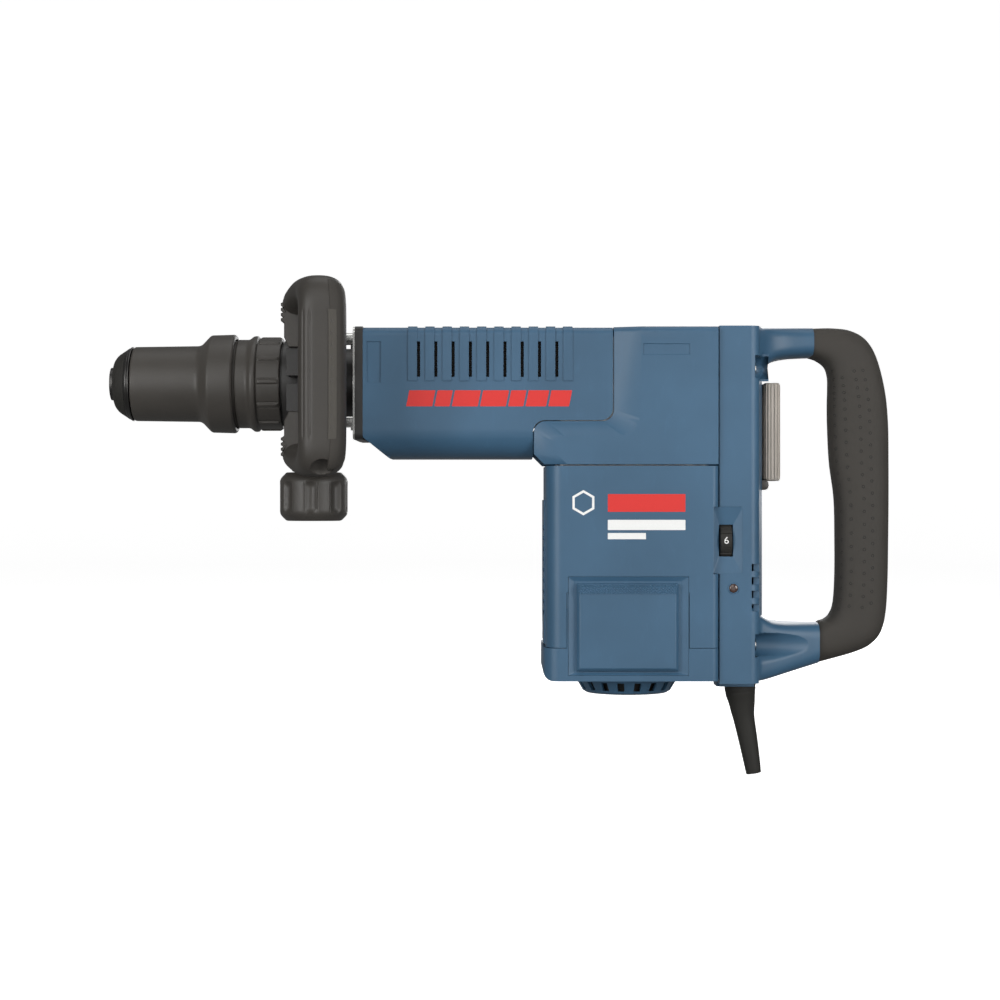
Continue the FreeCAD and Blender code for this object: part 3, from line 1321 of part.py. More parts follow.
def make_clamp_screw():
    """Bolt, washer and lobed knob that tighten the band."""
    bolt = new_body("clamp_bolt")
    rod(bolt, 0, 0, dim(-98), dim(4), dim(168), UPRIGHT)
    rod(bolt, 0, 0, dim(66), dim(7), dim(5), UPRIGHT)
    washer = new_body("knob_washer")
    ring = disc(sketch_on(washer, "XY_Plane", dim(-68.2)), 0, 0, dim(11))
    disc(ring, 0, 0, dim(4.1))
    pad(washer, ring, dim(2))
    knob = turned("clamp_knob", [
        (4.1, size.knob_top), (size.knob_radius - 4, size.knob_top), (size.knob_radius, size.knob_top - 4),
        (size.knob_radius, size.knob_bottom + 5), (size.knob_radius - 5, size.knob_bottom),
        (0, size.knob_bottom), (0, size.knob_bottom + 4), (4.1, size.knob_bottom + 4),
    ], "V_Axis")
    flute = rod_hole(knob, size.knob_radius + 3, 0, size.knob_bottom - 1, dim(6.5),
                     size.knob_top - size.knob_bottom + 2, UPRIGHT)
    around(knob, [flute], "Z_Axis", 8)
    for body in (bolt, washer, knob):
        place(body, size.side_bolt_x, size.side_bolt_y)


make_tool_holder()
make_front_housing()
make_flange_plate()
make_flange_bolts()
make_mechanism()
make_motor()
make_hammer_cover()
make_crank_cover()
make_motor_housing()
make_lower_cap()
make_brush_cover("brush_cover_left", -1)
make_brush_cover("brush_cover_right", 1)
make_air_grille()
make_rear_frame()
make_handle_grip()
make_handle_screws()
make_switch()
make_dial()
make_electronics()
make_cord_sleeve()
make_clamp_band()
make_side_handle()
make_side_grip()
make_clamp_screw()
doc.recompute()

for thing in doc.Objects:
    if "Invalid" in thing.State or "Error" in thing.State:
        raise RuntimeError(f"{thing.Label} failed: {thing.State}")
for body in made:
    if body.Shape.isNull() or not body.Shape.isValid() or not body.Shape.Solids:
        raise RuntimeError(f"{body.Label} has no valid shape")
os.makedirs("parts", exist_ok=True)
for body in made:
    body.Shape.exportStep(f"parts/{body.Label}.step")
    print(f"{body.Label:22s} {len(body.Shape.Solids)} solid, {body.Shape.Volume / 1000:9.2f} cm3")
print(len(made), "pieces")
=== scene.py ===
"""Looks of an electric demolition hammer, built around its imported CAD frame.

Every length is in metres and in the frame's own axes: +X runs from the tool socket to the rear handle, +Z
is up and the side with the speed dial faces -Y. Surfaces are worked out with numpy on grids of two
parameters.
"""

import json
import logging
import math
from collections.abc import Callable, Sequence
from dataclasses import dataclass, field
from enum import Enum

import bmesh
import bpy
import numpy as np
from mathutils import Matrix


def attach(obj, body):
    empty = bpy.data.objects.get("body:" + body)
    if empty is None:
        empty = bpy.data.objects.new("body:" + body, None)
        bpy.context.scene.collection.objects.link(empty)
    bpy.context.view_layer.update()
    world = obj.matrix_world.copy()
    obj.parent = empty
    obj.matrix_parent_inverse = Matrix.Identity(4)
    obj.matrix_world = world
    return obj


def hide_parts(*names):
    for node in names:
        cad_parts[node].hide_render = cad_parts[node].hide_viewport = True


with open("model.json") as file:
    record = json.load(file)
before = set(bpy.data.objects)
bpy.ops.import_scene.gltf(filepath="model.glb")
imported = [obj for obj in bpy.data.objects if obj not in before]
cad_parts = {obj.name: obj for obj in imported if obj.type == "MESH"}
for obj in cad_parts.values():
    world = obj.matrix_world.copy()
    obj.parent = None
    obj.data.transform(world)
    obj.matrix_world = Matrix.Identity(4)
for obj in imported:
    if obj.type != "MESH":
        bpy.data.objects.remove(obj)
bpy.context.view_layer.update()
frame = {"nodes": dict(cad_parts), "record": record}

MM = 0.001
TAU = 2 * math.pi
LOG = logging.getLogger("demolition_hammer")

Array = np.ndarray
Setting = str | float | int | bool | tuple
Point = tuple[float, float, float]


# ---- shader values ---------------------------------------------------------------------------------

@dataclass
class Signal:
    """A shader value under construction: one socket that understands arithmetic."""

    tree: bpy.types.NodeTree
    socket: bpy.types.NodeSocket

    def joined(self, operation: str, other: "Signal | float", swap: bool = False) -> "Signal":
        """Adds one Math node.

        Args:
            operation: The Math node's operation.
            other: The second value.
            swap: True where the other value comes first.

        Returns:
            The node's result.
        """
        node = self.tree.nodes.new("ShaderNodeMath")
        node.operation = operation
        values = (other, self) if swap else (self, other)
        for slot, value in zip(node.inputs, values):
            if isinstance(value, Signal):
                self.tree.links.new(value.socket, slot)
            else:
                slot.default_value = value
        return Signal(self.tree, node.outputs[0])

    def __add__(self, other: "Signal | float") -> "Signal":
        """Sum."""
        return self.joined("ADD", other)

    def __sub__(self, other: "Signal | float") -> "Signal":
        """Difference."""
        return self.joined("SUBTRACT", other)

    def __mul__(self, other: "Signal | float") -> "Signal":
        """Product."""
        return self.joined("MULTIPLY", other)

    __radd__ = __add__
    __rmul__ = __mul__

    def __rsub__(self, other: float) -> "Signal":
        """A number minus this value."""
        return self.joined("SUBTRACT", other, swap=True)


class Recipe:
    """One material's node tree, built from the shader outwards."""

    def __init__(self, name: str) -> None:
        """Makes an empty material with its Principled shader.

        Args:
            name: The material's name.
        """
        self.material = bpy.data.materials.new(name)
        self.material.use_nodes = True
        self.tree = self.material.node_tree
        self.shader = self.tree.nodes["Principled BSDF"]
        self.place = self.add("ShaderNodeTexCoord", output="Object")

    def add(self, kind: str, settings: dict[str, Setting] | None = None,
            inputs: dict[str, "Signal | Setting"] | None = None, output: str | int = 0) -> Signal:
        """Adds one node.

        Args:
            kind: The node's type.
            settings: The node's own properties, set before its sockets.
            inputs: Values or links of its sockets, by name.
            output: Name or number of the socket that is returned.

        Returns:
            The chosen output.
        """
        node = self.tree.nodes.new(kind)
        for name, value in (settings or {}).items():
            setattr(node, name, value)
        for name, value in (inputs or {}).items():
            self.feed(node.inputs[int(name) if name.isdigit() else name], value)
        return Signal(self.tree, node.outputs[output])

    def feed(self, slot: bpy.types.NodeSocket, value: "Signal | Setting") -> None:
        """Links a signal to a socket, or sets the socket's number or colour."""
        if isinstance(value, Signal):
            self.tree.links.new(value.socket, slot)
        elif isinstance(value, tuple) and len(value) == 3 and slot.type == "RGBA":
            slot.default_value = (*value, 1.0)
        else:
            slot.default_value = value

    def noise(self, scale: float, detail: float = 2.0, roughness: float = 0.5,
              stretch: tuple[float, float, float] = (1.0, 1.0, 1.0)) -> Signal:
        """A noise value from 0 to 1, finer as the scale rises and drawn out where the stretch is low.

        Args:
            scale: Waves per metre.
            detail: Number of finer layers.
            roughness: Weight of those layers.
            stretch: Scale along each axis.

        Returns:
            The value.
        """
        spot = self.add("ShaderNodeMapping", {"vector_type": "POINT"}, {
            "Vector": self.place, "Scale": stretch})
        return self.add("ShaderNodeTexNoise", {}, {
            "Vector": spot, "Scale": scale, "Detail": detail, "Roughness": roughness})

    def spread(self, value: Signal, low: float, high: float) -> Signal:
        """Maps a range of a value on 0 to 1, and holds it there."""
        return self.add("ShaderNodeMapRange", {"clamp": True}, {
            "Value": value, "From Min": low, "From Max": high, "To Min": 0.0, "To Max": 1.0})

    def blend(self, factor: "Signal | float", low: "Signal | tuple", high: "Signal | tuple") -> Signal:
        """Mixes two colours."""
        return self.add("ShaderNodeMix", {"data_type": "RGBA"}, {"0": factor, "6": low, "7": high}, output=2)

    def bump(self, height: Signal, depth: float, strength: float) -> Signal:
        """A normal from a height of 0 to 1 that stands for the given depth in metres."""
        return self.add("ShaderNodeBump", {}, {"Height": height, "Distance": depth, "Strength": strength})

    def finish(self, **sockets: "Signal | Setting") -> bpy.types.Material:
        """Sets the shader's sockets, whose names are written with underscores, and gives the material."""
        for name, value in sockets.items():
            self.feed(self.shader.inputs[name.replace("_", " ")], value)
        return self.material


def tone(red: float, green: float, blue: float) -> tuple[float, float, float]:
    """A display colour of 0 to 255 as linear light."""
    shares = (red / 255, green / 255, blue / 255)
    return tuple(c / 12.92 if c <= 0.04045 else ((c + 0.055) / 1.055) ** 2.4 for c in shares)


@dataclass(frozen=True)
class Moulding:
    """Injection-moulded plastic with a fine spark-eroded grain."""

    name: str
    colour: tuple[float, float, float]
    roughness: float = 0.5
    grain_scale: float = 2600.0
    grain_depth: float = 0.00006
    specular: float = 0.4

    def material(self) -> bpy.types.Material:
        """Grain bumps the surface, broad noise shifts its tone, and fine scuffs change its gloss."""
        r = Recipe(self.name)
        grain = r.noise(self.grain_scale, 2.0, 0.6)
        broad = r.noise(14.0, 3.0)
        scuffs = r.spread(r.noise(160.0, 6.0, 0.7, (1.0, 1.0, 0.35)), 0.56, 0.74)
        dark = tuple(c * 0.9 for c in self.colour)
        light = tuple(min(1.0, c * 1.1 + 0.002) for c in self.colour)
        colour = r.blend(r.spread(broad, 0.3, 0.7), dark, light)
        worn = r.blend(scuffs * 0.14, colour, tuple(min(1.0, c * 1.5 + 0.01) for c in self.colour))
        return r.finish(
            Base_Color=worn, Roughness=self.roughness + scuffs * 0.06 + (broad - 0.5) * 0.08,
            Normal=r.bump(grain, self.grain_depth, 0.5), Specular_IOR_Level=self.specular)


@dataclass(frozen=True)
class SoftRubber:
    """Over-moulded rubber: matt, with a slight haze and dust in its pores."""

    name: str
    colour: tuple[float, float, float]
    roughness: float = 0.66
    pore_depth: float = 0.00008

    def material(self) -> bpy.types.Material:
        """Fine pores bump the surface and a broad haze greys it."""
        r = Recipe(self.name)
        pores = r.noise(1900.0, 3.0, 0.7)
        haze = r.spread(r.noise(22.0, 5.0, 0.65), 0.35, 0.75)
        colour = r.blend(haze * 0.5, self.colour, tuple(c * 1.35 + 0.004 for c in self.colour))
        return r.finish(Base_Color=colour, Roughness=self.roughness + haze * 0.1,
                        Normal=r.bump(pores, self.pore_depth, 0.45), Specular_IOR_Level=0.35)


class Lay(Enum):
    """Which way the tool marks of a machined surface run."""

    ROUND_X = (0.02, 1.0, 1.0)
    ROUND_Z = (1.0, 1.0, 0.02)
    NONE = (1.0, 1.0, 1.0)


@dataclass(frozen=True)
class Metal:
    """Turned, ground or cast metal."""

    name: str
    colour: tuple[float, float, float]
    roughness: float = 0.3
    lay: Lay = Lay.NONE
    marks: float = 900.0
    depth: float = 0.00003

    def material(self) -> bpy.types.Material:
        """Fine marks bump the surface, and patches of oil or oxide change its gloss."""
        r = Recipe(self.name)
        marks = r.noise(self.marks, 3.0, 0.6, self.lay.value)
        patches = r.noise(35.0, 4.0)
        colour = r.blend(r.spread(patches, 0.35, 0.7), tuple(c * 0.82 for c in self.colour), self.colour)
        return r.finish(Base_Color=colour, Metallic=1.0, Roughness=self.roughness + (patches - 0.5) * 0.16,
                        Normal=r.bump(marks, self.depth, 0.5))


@dataclass(frozen=True)
class CoatedCasting:
    """Cast alloy under a black powder coat."""

    name: str
    colour: tuple[float, float, float]

    def material(self) -> bpy.types.Material:
        """An orange-peel skin over the casting."""
        r = Recipe(self.name)
        peel = r.noise(700.0, 3.0, 0.55)
        broad = r.noise(30.0, 3.0)
        colour = r.blend(broad, self.colour, tuple(c * 1.6 + 0.003 for c in self.colour))
        return r.finish(Base_Color=colour, Roughness=0.42 + (broad - 0.5) * 0.12,
                        Normal=r.bump(peel, 0.00015, 0.5), Specular_IOR_Level=0.45)


@dataclass(frozen=True)
class PadPrint:
    """Printed ink on the casing, with the grain of the plastic still showing."""

    name: str
    colour: tuple[float, float, float]
    roughness: float = 0.45

    def material(self) -> bpy.types.Material:
        """Even colour with slight unevenness of the ink."""
        r = Recipe(self.name)
        spots = r.noise(900.0, 2.0)
        colour = r.blend(spots, tuple(c * 0.92 for c in self.colour), self.colour)
        return r.finish(Base_Color=colour, Roughness=self.roughness + (spots - 0.5) * 0.08,
                        Normal=r.bump(r.noise(2600.0, 2.0), 0.00003, 0.4))


@dataclass(frozen=True)
class TintedLens:
    """Clear moulded lens, dark while the lamp behind it is off."""

    name: str
    colour: tuple[float, float, float]

    def material(self) -> bpy.types.Material:
        """A glossy coat over a deep tint with faint moulding rings."""
        r = Recipe(self.name)
        rings = r.noise(500.0, 2.0)
        colour = r.blend(rings, self.colour, tuple(c * 1.5 for c in self.colour))
        return r.finish(Base_Color=colour, Roughness=0.16 + rings * 0.05, Coat_Weight=0.6,
                        Normal=r.bump(rings, 0.00004, 0.3))


FINISHES: dict[str, bpy.types.Material] = {}


def make_finishes() -> None:
    """Makes one material for each material slot of the record, and those of the printed marks."""
    recipes = {
        "casing_blue": Moulding("grained_blue_nylon", tone(56, 91, 118), 0.43, 2400.0, 0.00004, 0.45),
        "black_plastic": Moulding("black_nylon", tone(62, 59, 55), 0.44, 2200.0, 0.00006, 0.4),
        "handle_nylon": Moulding("handle_nylon", tone(54, 51, 47), 0.48, 2200.0, 0.00006, 0.4),
        "grey_plastic": Moulding("warm_grey_nylon", tone(182, 175, 166), 0.5, 2300.0, 0.00004),
        "rubber": SoftRubber("soft_black_rubber", tone(56, 53, 49)),
        "strip_rubber": SoftRubber("strip_rubber", tone(72, 69, 64), 0.7, 0.00016),
        "dark_rubber": SoftRubber("nose_rubber", tone(35, 34, 31), 0.6),
        "seal_rubber": SoftRubber("nitrile_rubber", tone(40, 40, 40), 0.5),
        "black_metal": CoatedCasting("powder_coated_casting", tone(34, 33, 32)),
        "bright_steel": Metal("zinc_plated_steel", (0.72, 0.72, 0.7), 0.24, Lay.NONE, 1200.0),
        "ground_steel": Metal("ground_steel", (0.56, 0.57, 0.58), 0.26, Lay.ROUND_X, 800.0),
        "spring_steel": Metal("drawn_spring_wire", (0.5, 0.5, 0.49), 0.3),
        "cast_alloy": Metal("cast_alloy", (0.6, 0.6, 0.6), 0.5, Lay.NONE, 500.0, 0.0002),
        "field_steel": Metal("stacked_sheet_steel", (0.34, 0.36, 0.4), 0.45, Lay.ROUND_Z, 2500.0, 0.0001),
        "copper": Metal("enamelled_copper", (0.78, 0.36, 0.17), 0.32, Lay.NONE, 1500.0),
        "brass": Metal("rolled_brass", (0.8, 0.62, 0.3), 0.3),
        "carbon": Moulding("pressed_carbon", tone(52, 52, 54), 0.6),
        "lens_red": TintedLens("service_lamp_lens", tone(60, 42, 36)),
        "print_red": PadPrint("red_print", tone(216, 38, 32)),
        "print_white": PadPrint("white_print", tone(238, 238, 236)),
        # Near-black steel: the retaining ring's own dark finish, and painted shade on the tool spindle, whose
        # nose sits in the dark inside of the nose and would otherwise glint as bright steel.
        "dark_steel_and_painted_shade": Metal("dark_steel_and_painted_shade", (0.09, 0.088, 0.085), 0.34),
    }
    for slot, finish in recipes.items():
        FINISHES[slot] = finish.material()


# ---- surfaces --------------------------------------------------------------------------------------

def rest_piece(name: str, points: Array, faces: list[list[int]], smooth_angle: float = 40.0
               ) -> bpy.types.Object:
    """Puts points and faces into a mesh object at the origin, with outward normals and crisp edges.

    Args:
        name: The piece's name.
        points: Vertices, one per row.
        faces: Corner numbers of each face.
        smooth_angle: Edges sharper than this many degrees stay crisp.

    Returns:
        The new object.
    """
    mesh = bpy.data.meshes.new(name)
    mesh.from_pydata(np.asarray(points, dtype=float).reshape(-1, 3).tolist(), [], faces)
    tidy = bmesh.new()
    tidy.from_mesh(mesh)
    bmesh.ops.remove_doubles(tidy, verts=tidy.verts, dist=1e-7)
    bmesh.ops.recalc_face_normals(tidy, faces=tidy.faces)
    tidy.to_mesh(mesh)
    tidy.free()
    mesh.shade_smooth()
    mesh.set_sharp_from_angle(angle=math.radians(smooth_angle))
    piece = bpy.data.objects.new(name, mesh)
    bpy.context.scene.collection.objects.link(piece)
    return piece


def grid_faces(rows: int, columns: int, wrap_rows: bool, wrap_columns: bool) -> list[list[int]]:
    """Four-cornered faces of a grid of points, closed on itself where it wraps.

    Args:
        rows: Rows of the grid.
        columns: Columns of the grid.
        wrap_rows: True where the last row joins the first.
        wrap_columns: The same for the columns.

    Returns:
        Corner numbers of each face.
    """
    i, j = np.meshgrid(np.arange(rows if wrap_rows else rows - 1),
                       np.arange(columns if wrap_columns else columns - 1), indexing="ij")
    i2, j2 = (i + 1) % rows, (j + 1) % columns
    corners = np.stack([i * columns + j, i2 * columns + j, i2 * columns + j2, i * columns + j2], axis=-1)
    return corners.reshape(-1, 4).tolist()


def skin(name: str, grid: Array, wrap_rows: bool = False, caps: bool = True, smooth_angle: float = 40.0
         ) -> bpy.types.Object:
    """A piece from a grid of points whose columns run round it.

    Args:
        name: The piece's name.
        grid: Points of shape (rows, columns, 3).
        wrap_rows: True where the last row joins the first.
        caps: True to close the two end rows with a fan round their middle.
        smooth_angle: Edges sharper than this many degrees stay crisp.

    Returns:
        The piece.
    """
    rows, columns, _ = grid.shape
    points = grid.reshape(-1, 3)
    faces = grid_faces(rows, columns, wrap_rows, True)
    if caps and not wrap_rows:
        points = np.vstack([points, grid[0].mean(axis=0), grid[-1].mean(axis=0)])
        first, last = rows * columns, rows * columns + 1
        ring = np.arange(columns)
        after = (ring + 1) % columns
        top = (rows - 1) * columns
        faces += np.stack([np.full(columns, first), after, ring], axis=1).tolist()
        faces += np.stack([np.full(columns, last), top + ring, top + after], axis=1).tolist()
    return rest_piece(name, points, faces, smooth_angle)


def rounded_run(corners: Sequence[tuple[float, ...]], steps: int = 5, closed: bool = True) -> Array:
    """Points along an outline whose corners are rounded.

    A corner is (a, b) or (a, b, r). Each rounded corner becomes a quadratic curve between the points that
    lie r before and after it, no further than 0.48 of the neighbouring runs.

    Args:
        corners: The outline's corners.
        steps: Points on each rounded corner, less one.
        closed: True where the last corner joins the first.

    Returns:
        The points, one per row.
    """
    spots = np.array([c[:2] for c in corners], dtype=float)
    out: list[Array] = []
    count = len(corners)
    for k, corner in enumerate(corners):
        radius = corner[2] if len(corner) > 2 else 0.0
        at_end = not closed and k in (0, count - 1)
        if radius <= 0 or at_end:
            out.append(spots[k][None, :])
            continue
        back, ahead = spots[k - 1] - spots[k], spots[(k + 1) % count] - spots[k]
        reach = min(radius, 0.48 * np.linalg.norm(back), 0.48 * np.linalg.norm(ahead))
        a = spots[k] + back / np.linalg.norm(back) * reach
        b = spots[k] + ahead / np.linalg.norm(ahead) * reach
        t = np.linspace(0, 1, steps + 1)[:, None]
        out.append((1 - t) ** 2 * a + 2 * t * (1 - t) * spots[k] + t**2 * b)
    return np.vstack(out)


def densified(run: Array, longest: float, closed: bool = True) -> Array:
    """Splits the long steps of a run of points so that none is longer than the given length.

    Args:
        run: The points, one per row.
        longest: Longest step that stays whole.
        closed: True where the last point joins the first.

    Returns:
        The finer run.
    """
    after = np.roll(run, -1, axis=0) if closed else run[1:]
    before = run if closed else run[:-1]
    pieces = []
    for a, b in zip(before, after):
        parts = max(1, math.ceil(np.linalg.norm(b - a) / longest))
        pieces.append(a + (b - a) * np.arange(parts)[:, None] / parts)
    if not closed:
        pieces.append(run[-1:])
    return np.vstack(pieces)


Relief = Callable[[Array, Array], Array]


def stacked(x: Array | float, y: Array | float, z: Array | float) -> Array:
    """Points from their three coordinates, each of which is spread over the grid of the others."""
    return np.stack(np.broadcast_arrays(x, y, z), axis=-1)


def turned_about_x(name: str, corners: Sequence[tuple[float, ...]], sides: int = 128,
                   relief: Relief | None = None, longest: float = 0.02, smooth_angle: float = 40.0
                   ) -> bpy.types.Object:
    """A ring turned about the X axis: the closed outline (x, r) is carried round a full turn.

    Args:
        name: The piece's name.
        corners: The outline's corners, in millimetres, with rounding radii.
        sides: Points round the turn.
        relief: Gives an addition to the radius, in metres, at each x and angle.
        longest: Longest step along the outline.
        smooth_angle: Edges sharper than this many degrees stay crisp.

    Returns:
        The piece.
    """
    run = densified(rounded_run(corners) * MM, longest)
    angle = np.linspace(0, TAU, sides, endpoint=False)
    x, turn = np.meshgrid(run[:, 0], angle, indexing="ij")
    radius = np.meshgrid(run[:, 1], angle, indexing="ij")[0]
    if relief is not None:
        radius = radius + relief(x, turn) * (radius > radius.max() * 0.55)
    grid = np.stack([x, radius * np.sin(turn), radius * np.cos(turn)], axis=-1)
    return skin(name, grid, wrap_rows=True, smooth_angle=smooth_angle)


def smooth_through(points: Array, steps: int) -> Array:
    """A Catmull-Rom curve through given points: each span is the cubic of its four nearest points.

    Args:
        points: The chosen points, one per row.
        steps: Points on each span.

    Returns:
        Points along the curve.
    """
    padded = np.vstack([2 * points[0] - points[1], points, 2 * points[-1] - points[-2]])
    t = np.linspace(0, 1, steps, endpoint=False)[:, None]
    spans = []
    for a, b, c, d in zip(padded, padded[1:], padded[2:], padded[3:]):
        spans.append(0.5 * (2 * b + (c - a) * t + (2 * a - 5 * b + 4 * c - d) * t**2
                            + (3 * b - a - 3 * c + d) * t**3))
    return np.vstack(spans + [points[-1:]])


def oval(columns: int, power: float) -> tuple[Array, Array]:
    """A superellipse of half-width and half-height 1: cosine and sine raised to 2 / power.

    Args:
        columns: Points round it.
        power: 2 for an ellipse, and more for a squarer shape.

    Returns:
        Shares of the half-width and of the half-height.
    """
    angle = np.linspace(0, TAU, columns, endpoint=False)
    cosine, sine = np.cos(angle), np.sin(angle)
    return (np.sign(cosine) * np.abs(cosine) ** (2 / power), np.sign(sine) * np.abs(sine) ** (2 / power))


def box_piece(name: str, low: Sequence[float], high: Sequence[float]) -> bpy.types.Object:
    """A plain block from its two corners in millimetres.

    Args:
        name: The piece's name.
        low: Its lowest x, y and z.
        high: Its highest x, y and z.

    Returns:
        The piece.
    """
    corners = stacked(*np.meshgrid(*zip(low, high), indexing="ij")).reshape(-1, 3)
    faces = [[0, 1, 3, 2], [4, 6, 7, 5], [0, 4, 5, 1], [2, 3, 7, 6], [0, 2, 6, 4], [1, 5, 7, 3]]
    return rest_piece(name, corners * MM, faces)


def eased(piece: bpy.types.Object, width: float, segments: int = 2, angle: float = 32.0) -> bpy.types.Object:
    """Breaks a piece's sharp edges, and applies the result to its mesh.

    Args:
        piece: The piece.
        width: Width of the eased edges, in millimetres.
        segments: Faces across each eased edge.
        angle: Edges that turn by more degrees than this are eased.

    Returns:
        The same piece.
    """
    bevel = piece.modifiers.new("ease", "BEVEL")
    bevel.width = width * MM
    bevel.segments = segments
    bevel.limit_method = "ANGLE"
    bevel.angle_limit = math.radians(angle)
    bevel.use_clamp_overlap = True
    bevel.miter_outer = "MITER_ARC"
    piece.data.shade_smooth()
    piece.data.set_sharp_from_angle(angle=math.radians(angle + 1))
    even = piece.modifiers.new("even", "WEIGHTED_NORMAL")
    even.weight = 100
    even.keep_sharp = True
    settle(piece)
    return piece


def settle(piece: bpy.types.Object) -> None:
    """Applies all of a piece's modifiers to its mesh."""
    bpy.context.view_layer.update()
    sight = piece.evaluated_get(bpy.context.evaluated_depsgraph_get())
    mesh = bpy.data.meshes.new_from_object(sight)
    piece.modifiers.clear()
    piece.data = mesh


def softened_copy(node: str, name: str, width: float, cuts: Sequence[tuple[float, ...]] = (),
                  levels: Sequence[float] = ()) -> bpy.types.Object:
    """A copy of a CAD node, with its triangles merged into faces and its edges eased, that is shown for it.

    Args:
        node: The CAD node.
        name: The piece's name.
        width: Width of the eased edges, in millimetres.
        cuts: Boxes that are cut away, each by its two corners' x, y and z in millimetres.
        levels: Heights in millimetres at which faces stay split, so that a slotted wall makes simple faces.

    Returns:
        The piece.
    """
    mesh = frame["nodes"][node].data.copy()
    piece = bpy.data.objects.new(name, mesh)
    bpy.context.scene.collection.objects.link(piece)
    tidy = bmesh.new()
    tidy.from_mesh(mesh)
    bmesh.ops.remove_doubles(tidy, verts=tidy.verts, dist=2e-6)
    for level in levels:
        split = bmesh.ops.bisect_plane(tidy, geom=[*tidy.verts, *tidy.edges, *tidy.faces], dist=1e-7,
                                       plane_co=(0, 0, level * MM), plane_no=(0, 0, 1))
        for part in split["geom_cut"]:
            if isinstance(part, bmesh.types.BMEdge):
                part.seam = True
    bmesh.ops.dissolve_limit(tidy, angle_limit=math.radians(0.8), verts=tidy.verts, edges=tidy.edges,
                             use_dissolve_boundaries=False, delimit={"SEAM"})
    tidy.to_mesh(mesh)
    tidy.free()
    if cuts:
        carved(piece, [box_piece("cutter", corners[:3], corners[3:]) for corners in cuts])
    return eased(piece, width)


def carved(piece: bpy.types.Object, cutters: Sequence[bpy.types.Object]) -> bpy.types.Object:
    """Takes volumes out of a piece.

    Args:
        piece: The piece.
        cutters: Closed shapes, which are removed from the scene afterwards.

    Returns:
        The same piece.
    """
    for cutter in cutters:
        cut = piece.modifiers.new("cut", "BOOLEAN")
        cut.operation = "DIFFERENCE"
        cut.solver = "EXACT"
        cut.object = cutter
    settle(piece)
    for cutter in cutters:
        old = cutter.data
        bpy.data.objects.remove(cutter)
        bpy.data.meshes.remove(old)
    return piece


def round_bar(name: str, place: Sequence[float], length: float, radius: float, sides: int = 64
              ) -> bpy.types.Object:
    """A cylinder that runs towards +X: a circle carried along a straight line. Lengths in millimetres.

    Args:
        name: The piece's name.
        place: Middle of its front end.
        length: Its length.
        radius: Its radius.
        sides: Points round the circle.

    Returns:
        The piece.
    """
    turn = np.linspace(0, TAU, sides, endpoint=False)
    x = np.array([place[0], place[0] + length])
    grid = stacked(x[:, None], place[1] + radius * np.cos(turn), place[2] + radius * np.sin(turn))
    return skin(name, grid * MM)


def framed(name: str, outside: Array, inside: Array, levels: Sequence[float]) -> bpy.types.Object:
    """A sloping frame round an opening in a side of the casing. Lengths in millimetres.

    Args:
        name: The piece's name.
        outside: Outer ring of points (x, z).
        inside: Inner ring, with as many points.
        levels: Y of the outer edge, of the inner edge, and of the back.

    Returns:
        The piece.
    """
    rings = [(outside, levels[0]), (inside, levels[1]), (inside, levels[2]), (outside, levels[2])]
    grid = np.stack([np.stack([ring[:, 0], np.full(len(ring), y), ring[:, 1]], axis=1) for ring, y in rings])
    return skin(name, grid * MM, wrap_rows=True, smooth_angle=25.0)


def slab(name: str, x: Array, z: Array, front: Array, back: float) -> bpy.types.Object:
    """A plate with a worked face, closed by a flat back. Lengths in millimetres.

    Args:
        name: The piece's name.
        x: X of the grid's columns.
        z: Z of the grid's rows.
        front: Y of the worked face over the grid.
        back: Y of the back.

    Returns:
        The piece.
    """
    rows = len(z)
    grid = np.empty((rows, len(x) + 2, 3))
    grid[:, :-2, 0], grid[:, :-2, 1], grid[:, :-2, 2] = x[None, :], front, z[:, None]
    grid[:, -2:, 0], grid[:, -2:, 1], grid[:, -2:, 2] = np.array([x[-1], x[0]]), back, z[:, None]
    return skin(name, grid * MM, smooth_angle=25.0)


def dress(piece: bpy.types.Object, slot: str, body: str, replaces: Sequence[str] = (),
          finish: str | None = None) -> None:
    """Gives a new piece its material, chosen by its finish or else by its slot, puts it on its body and hides
    the CAD nodes that it stands for.

    Args:
        piece: The new piece.
        slot: The record's material slot.
        body: The CAD body that it moves with.
        replaces: CAD nodes that it hides.
        finish: The finish's name, where it isn't the slot's own.
    """
    piece.data.materials.clear()
    piece.data.materials.append(FINISHES[finish or slot])
    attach(piece, body)
    if replaces:
        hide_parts(*replaces)
    LOG.info("%s: %d faces", piece.name, len(piece.data.polygons))


def printed(name: str, outlines: Sequence[Array], body: str, finish: str, thickness: float = 0.06
            ) -> bpy.types.Object:
    """Thin printed shapes: each ring of points on a flat face is carried a little way along Y.

    Args:
        name: The piece's name.
        outlines: Rings of points, in millimetres, with Y on the casing's face.
        body: The CAD body that carries the print.
        finish: The print's finish.
        thickness: How far the print stands off the face, in millimetres.

    Returns:
        The piece.
    """
    points, faces, start = [], [], 0
    for ring in outlines:
        count = len(ring)
        lift = np.array([0, math.copysign(thickness, ring[0, 1]), 0])
        points += [ring - lift, ring + lift]
        index = np.arange(count)
        after = (index + 1) % count
        sides = np.stack([index, after, after + count, index + count], axis=1) + start
        faces += sides.tolist() + [(index + start).tolist(), (index[::-1] + start + count).tolist()]
        start += 2 * count
    piece = rest_piece(name, np.vstack(points) * MM, faces)
    piece.data.materials.append(FINISHES[finish])
    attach(piece, body)
    return piece


# ---- sub-assemblies --------------------------------------------------------------------------------

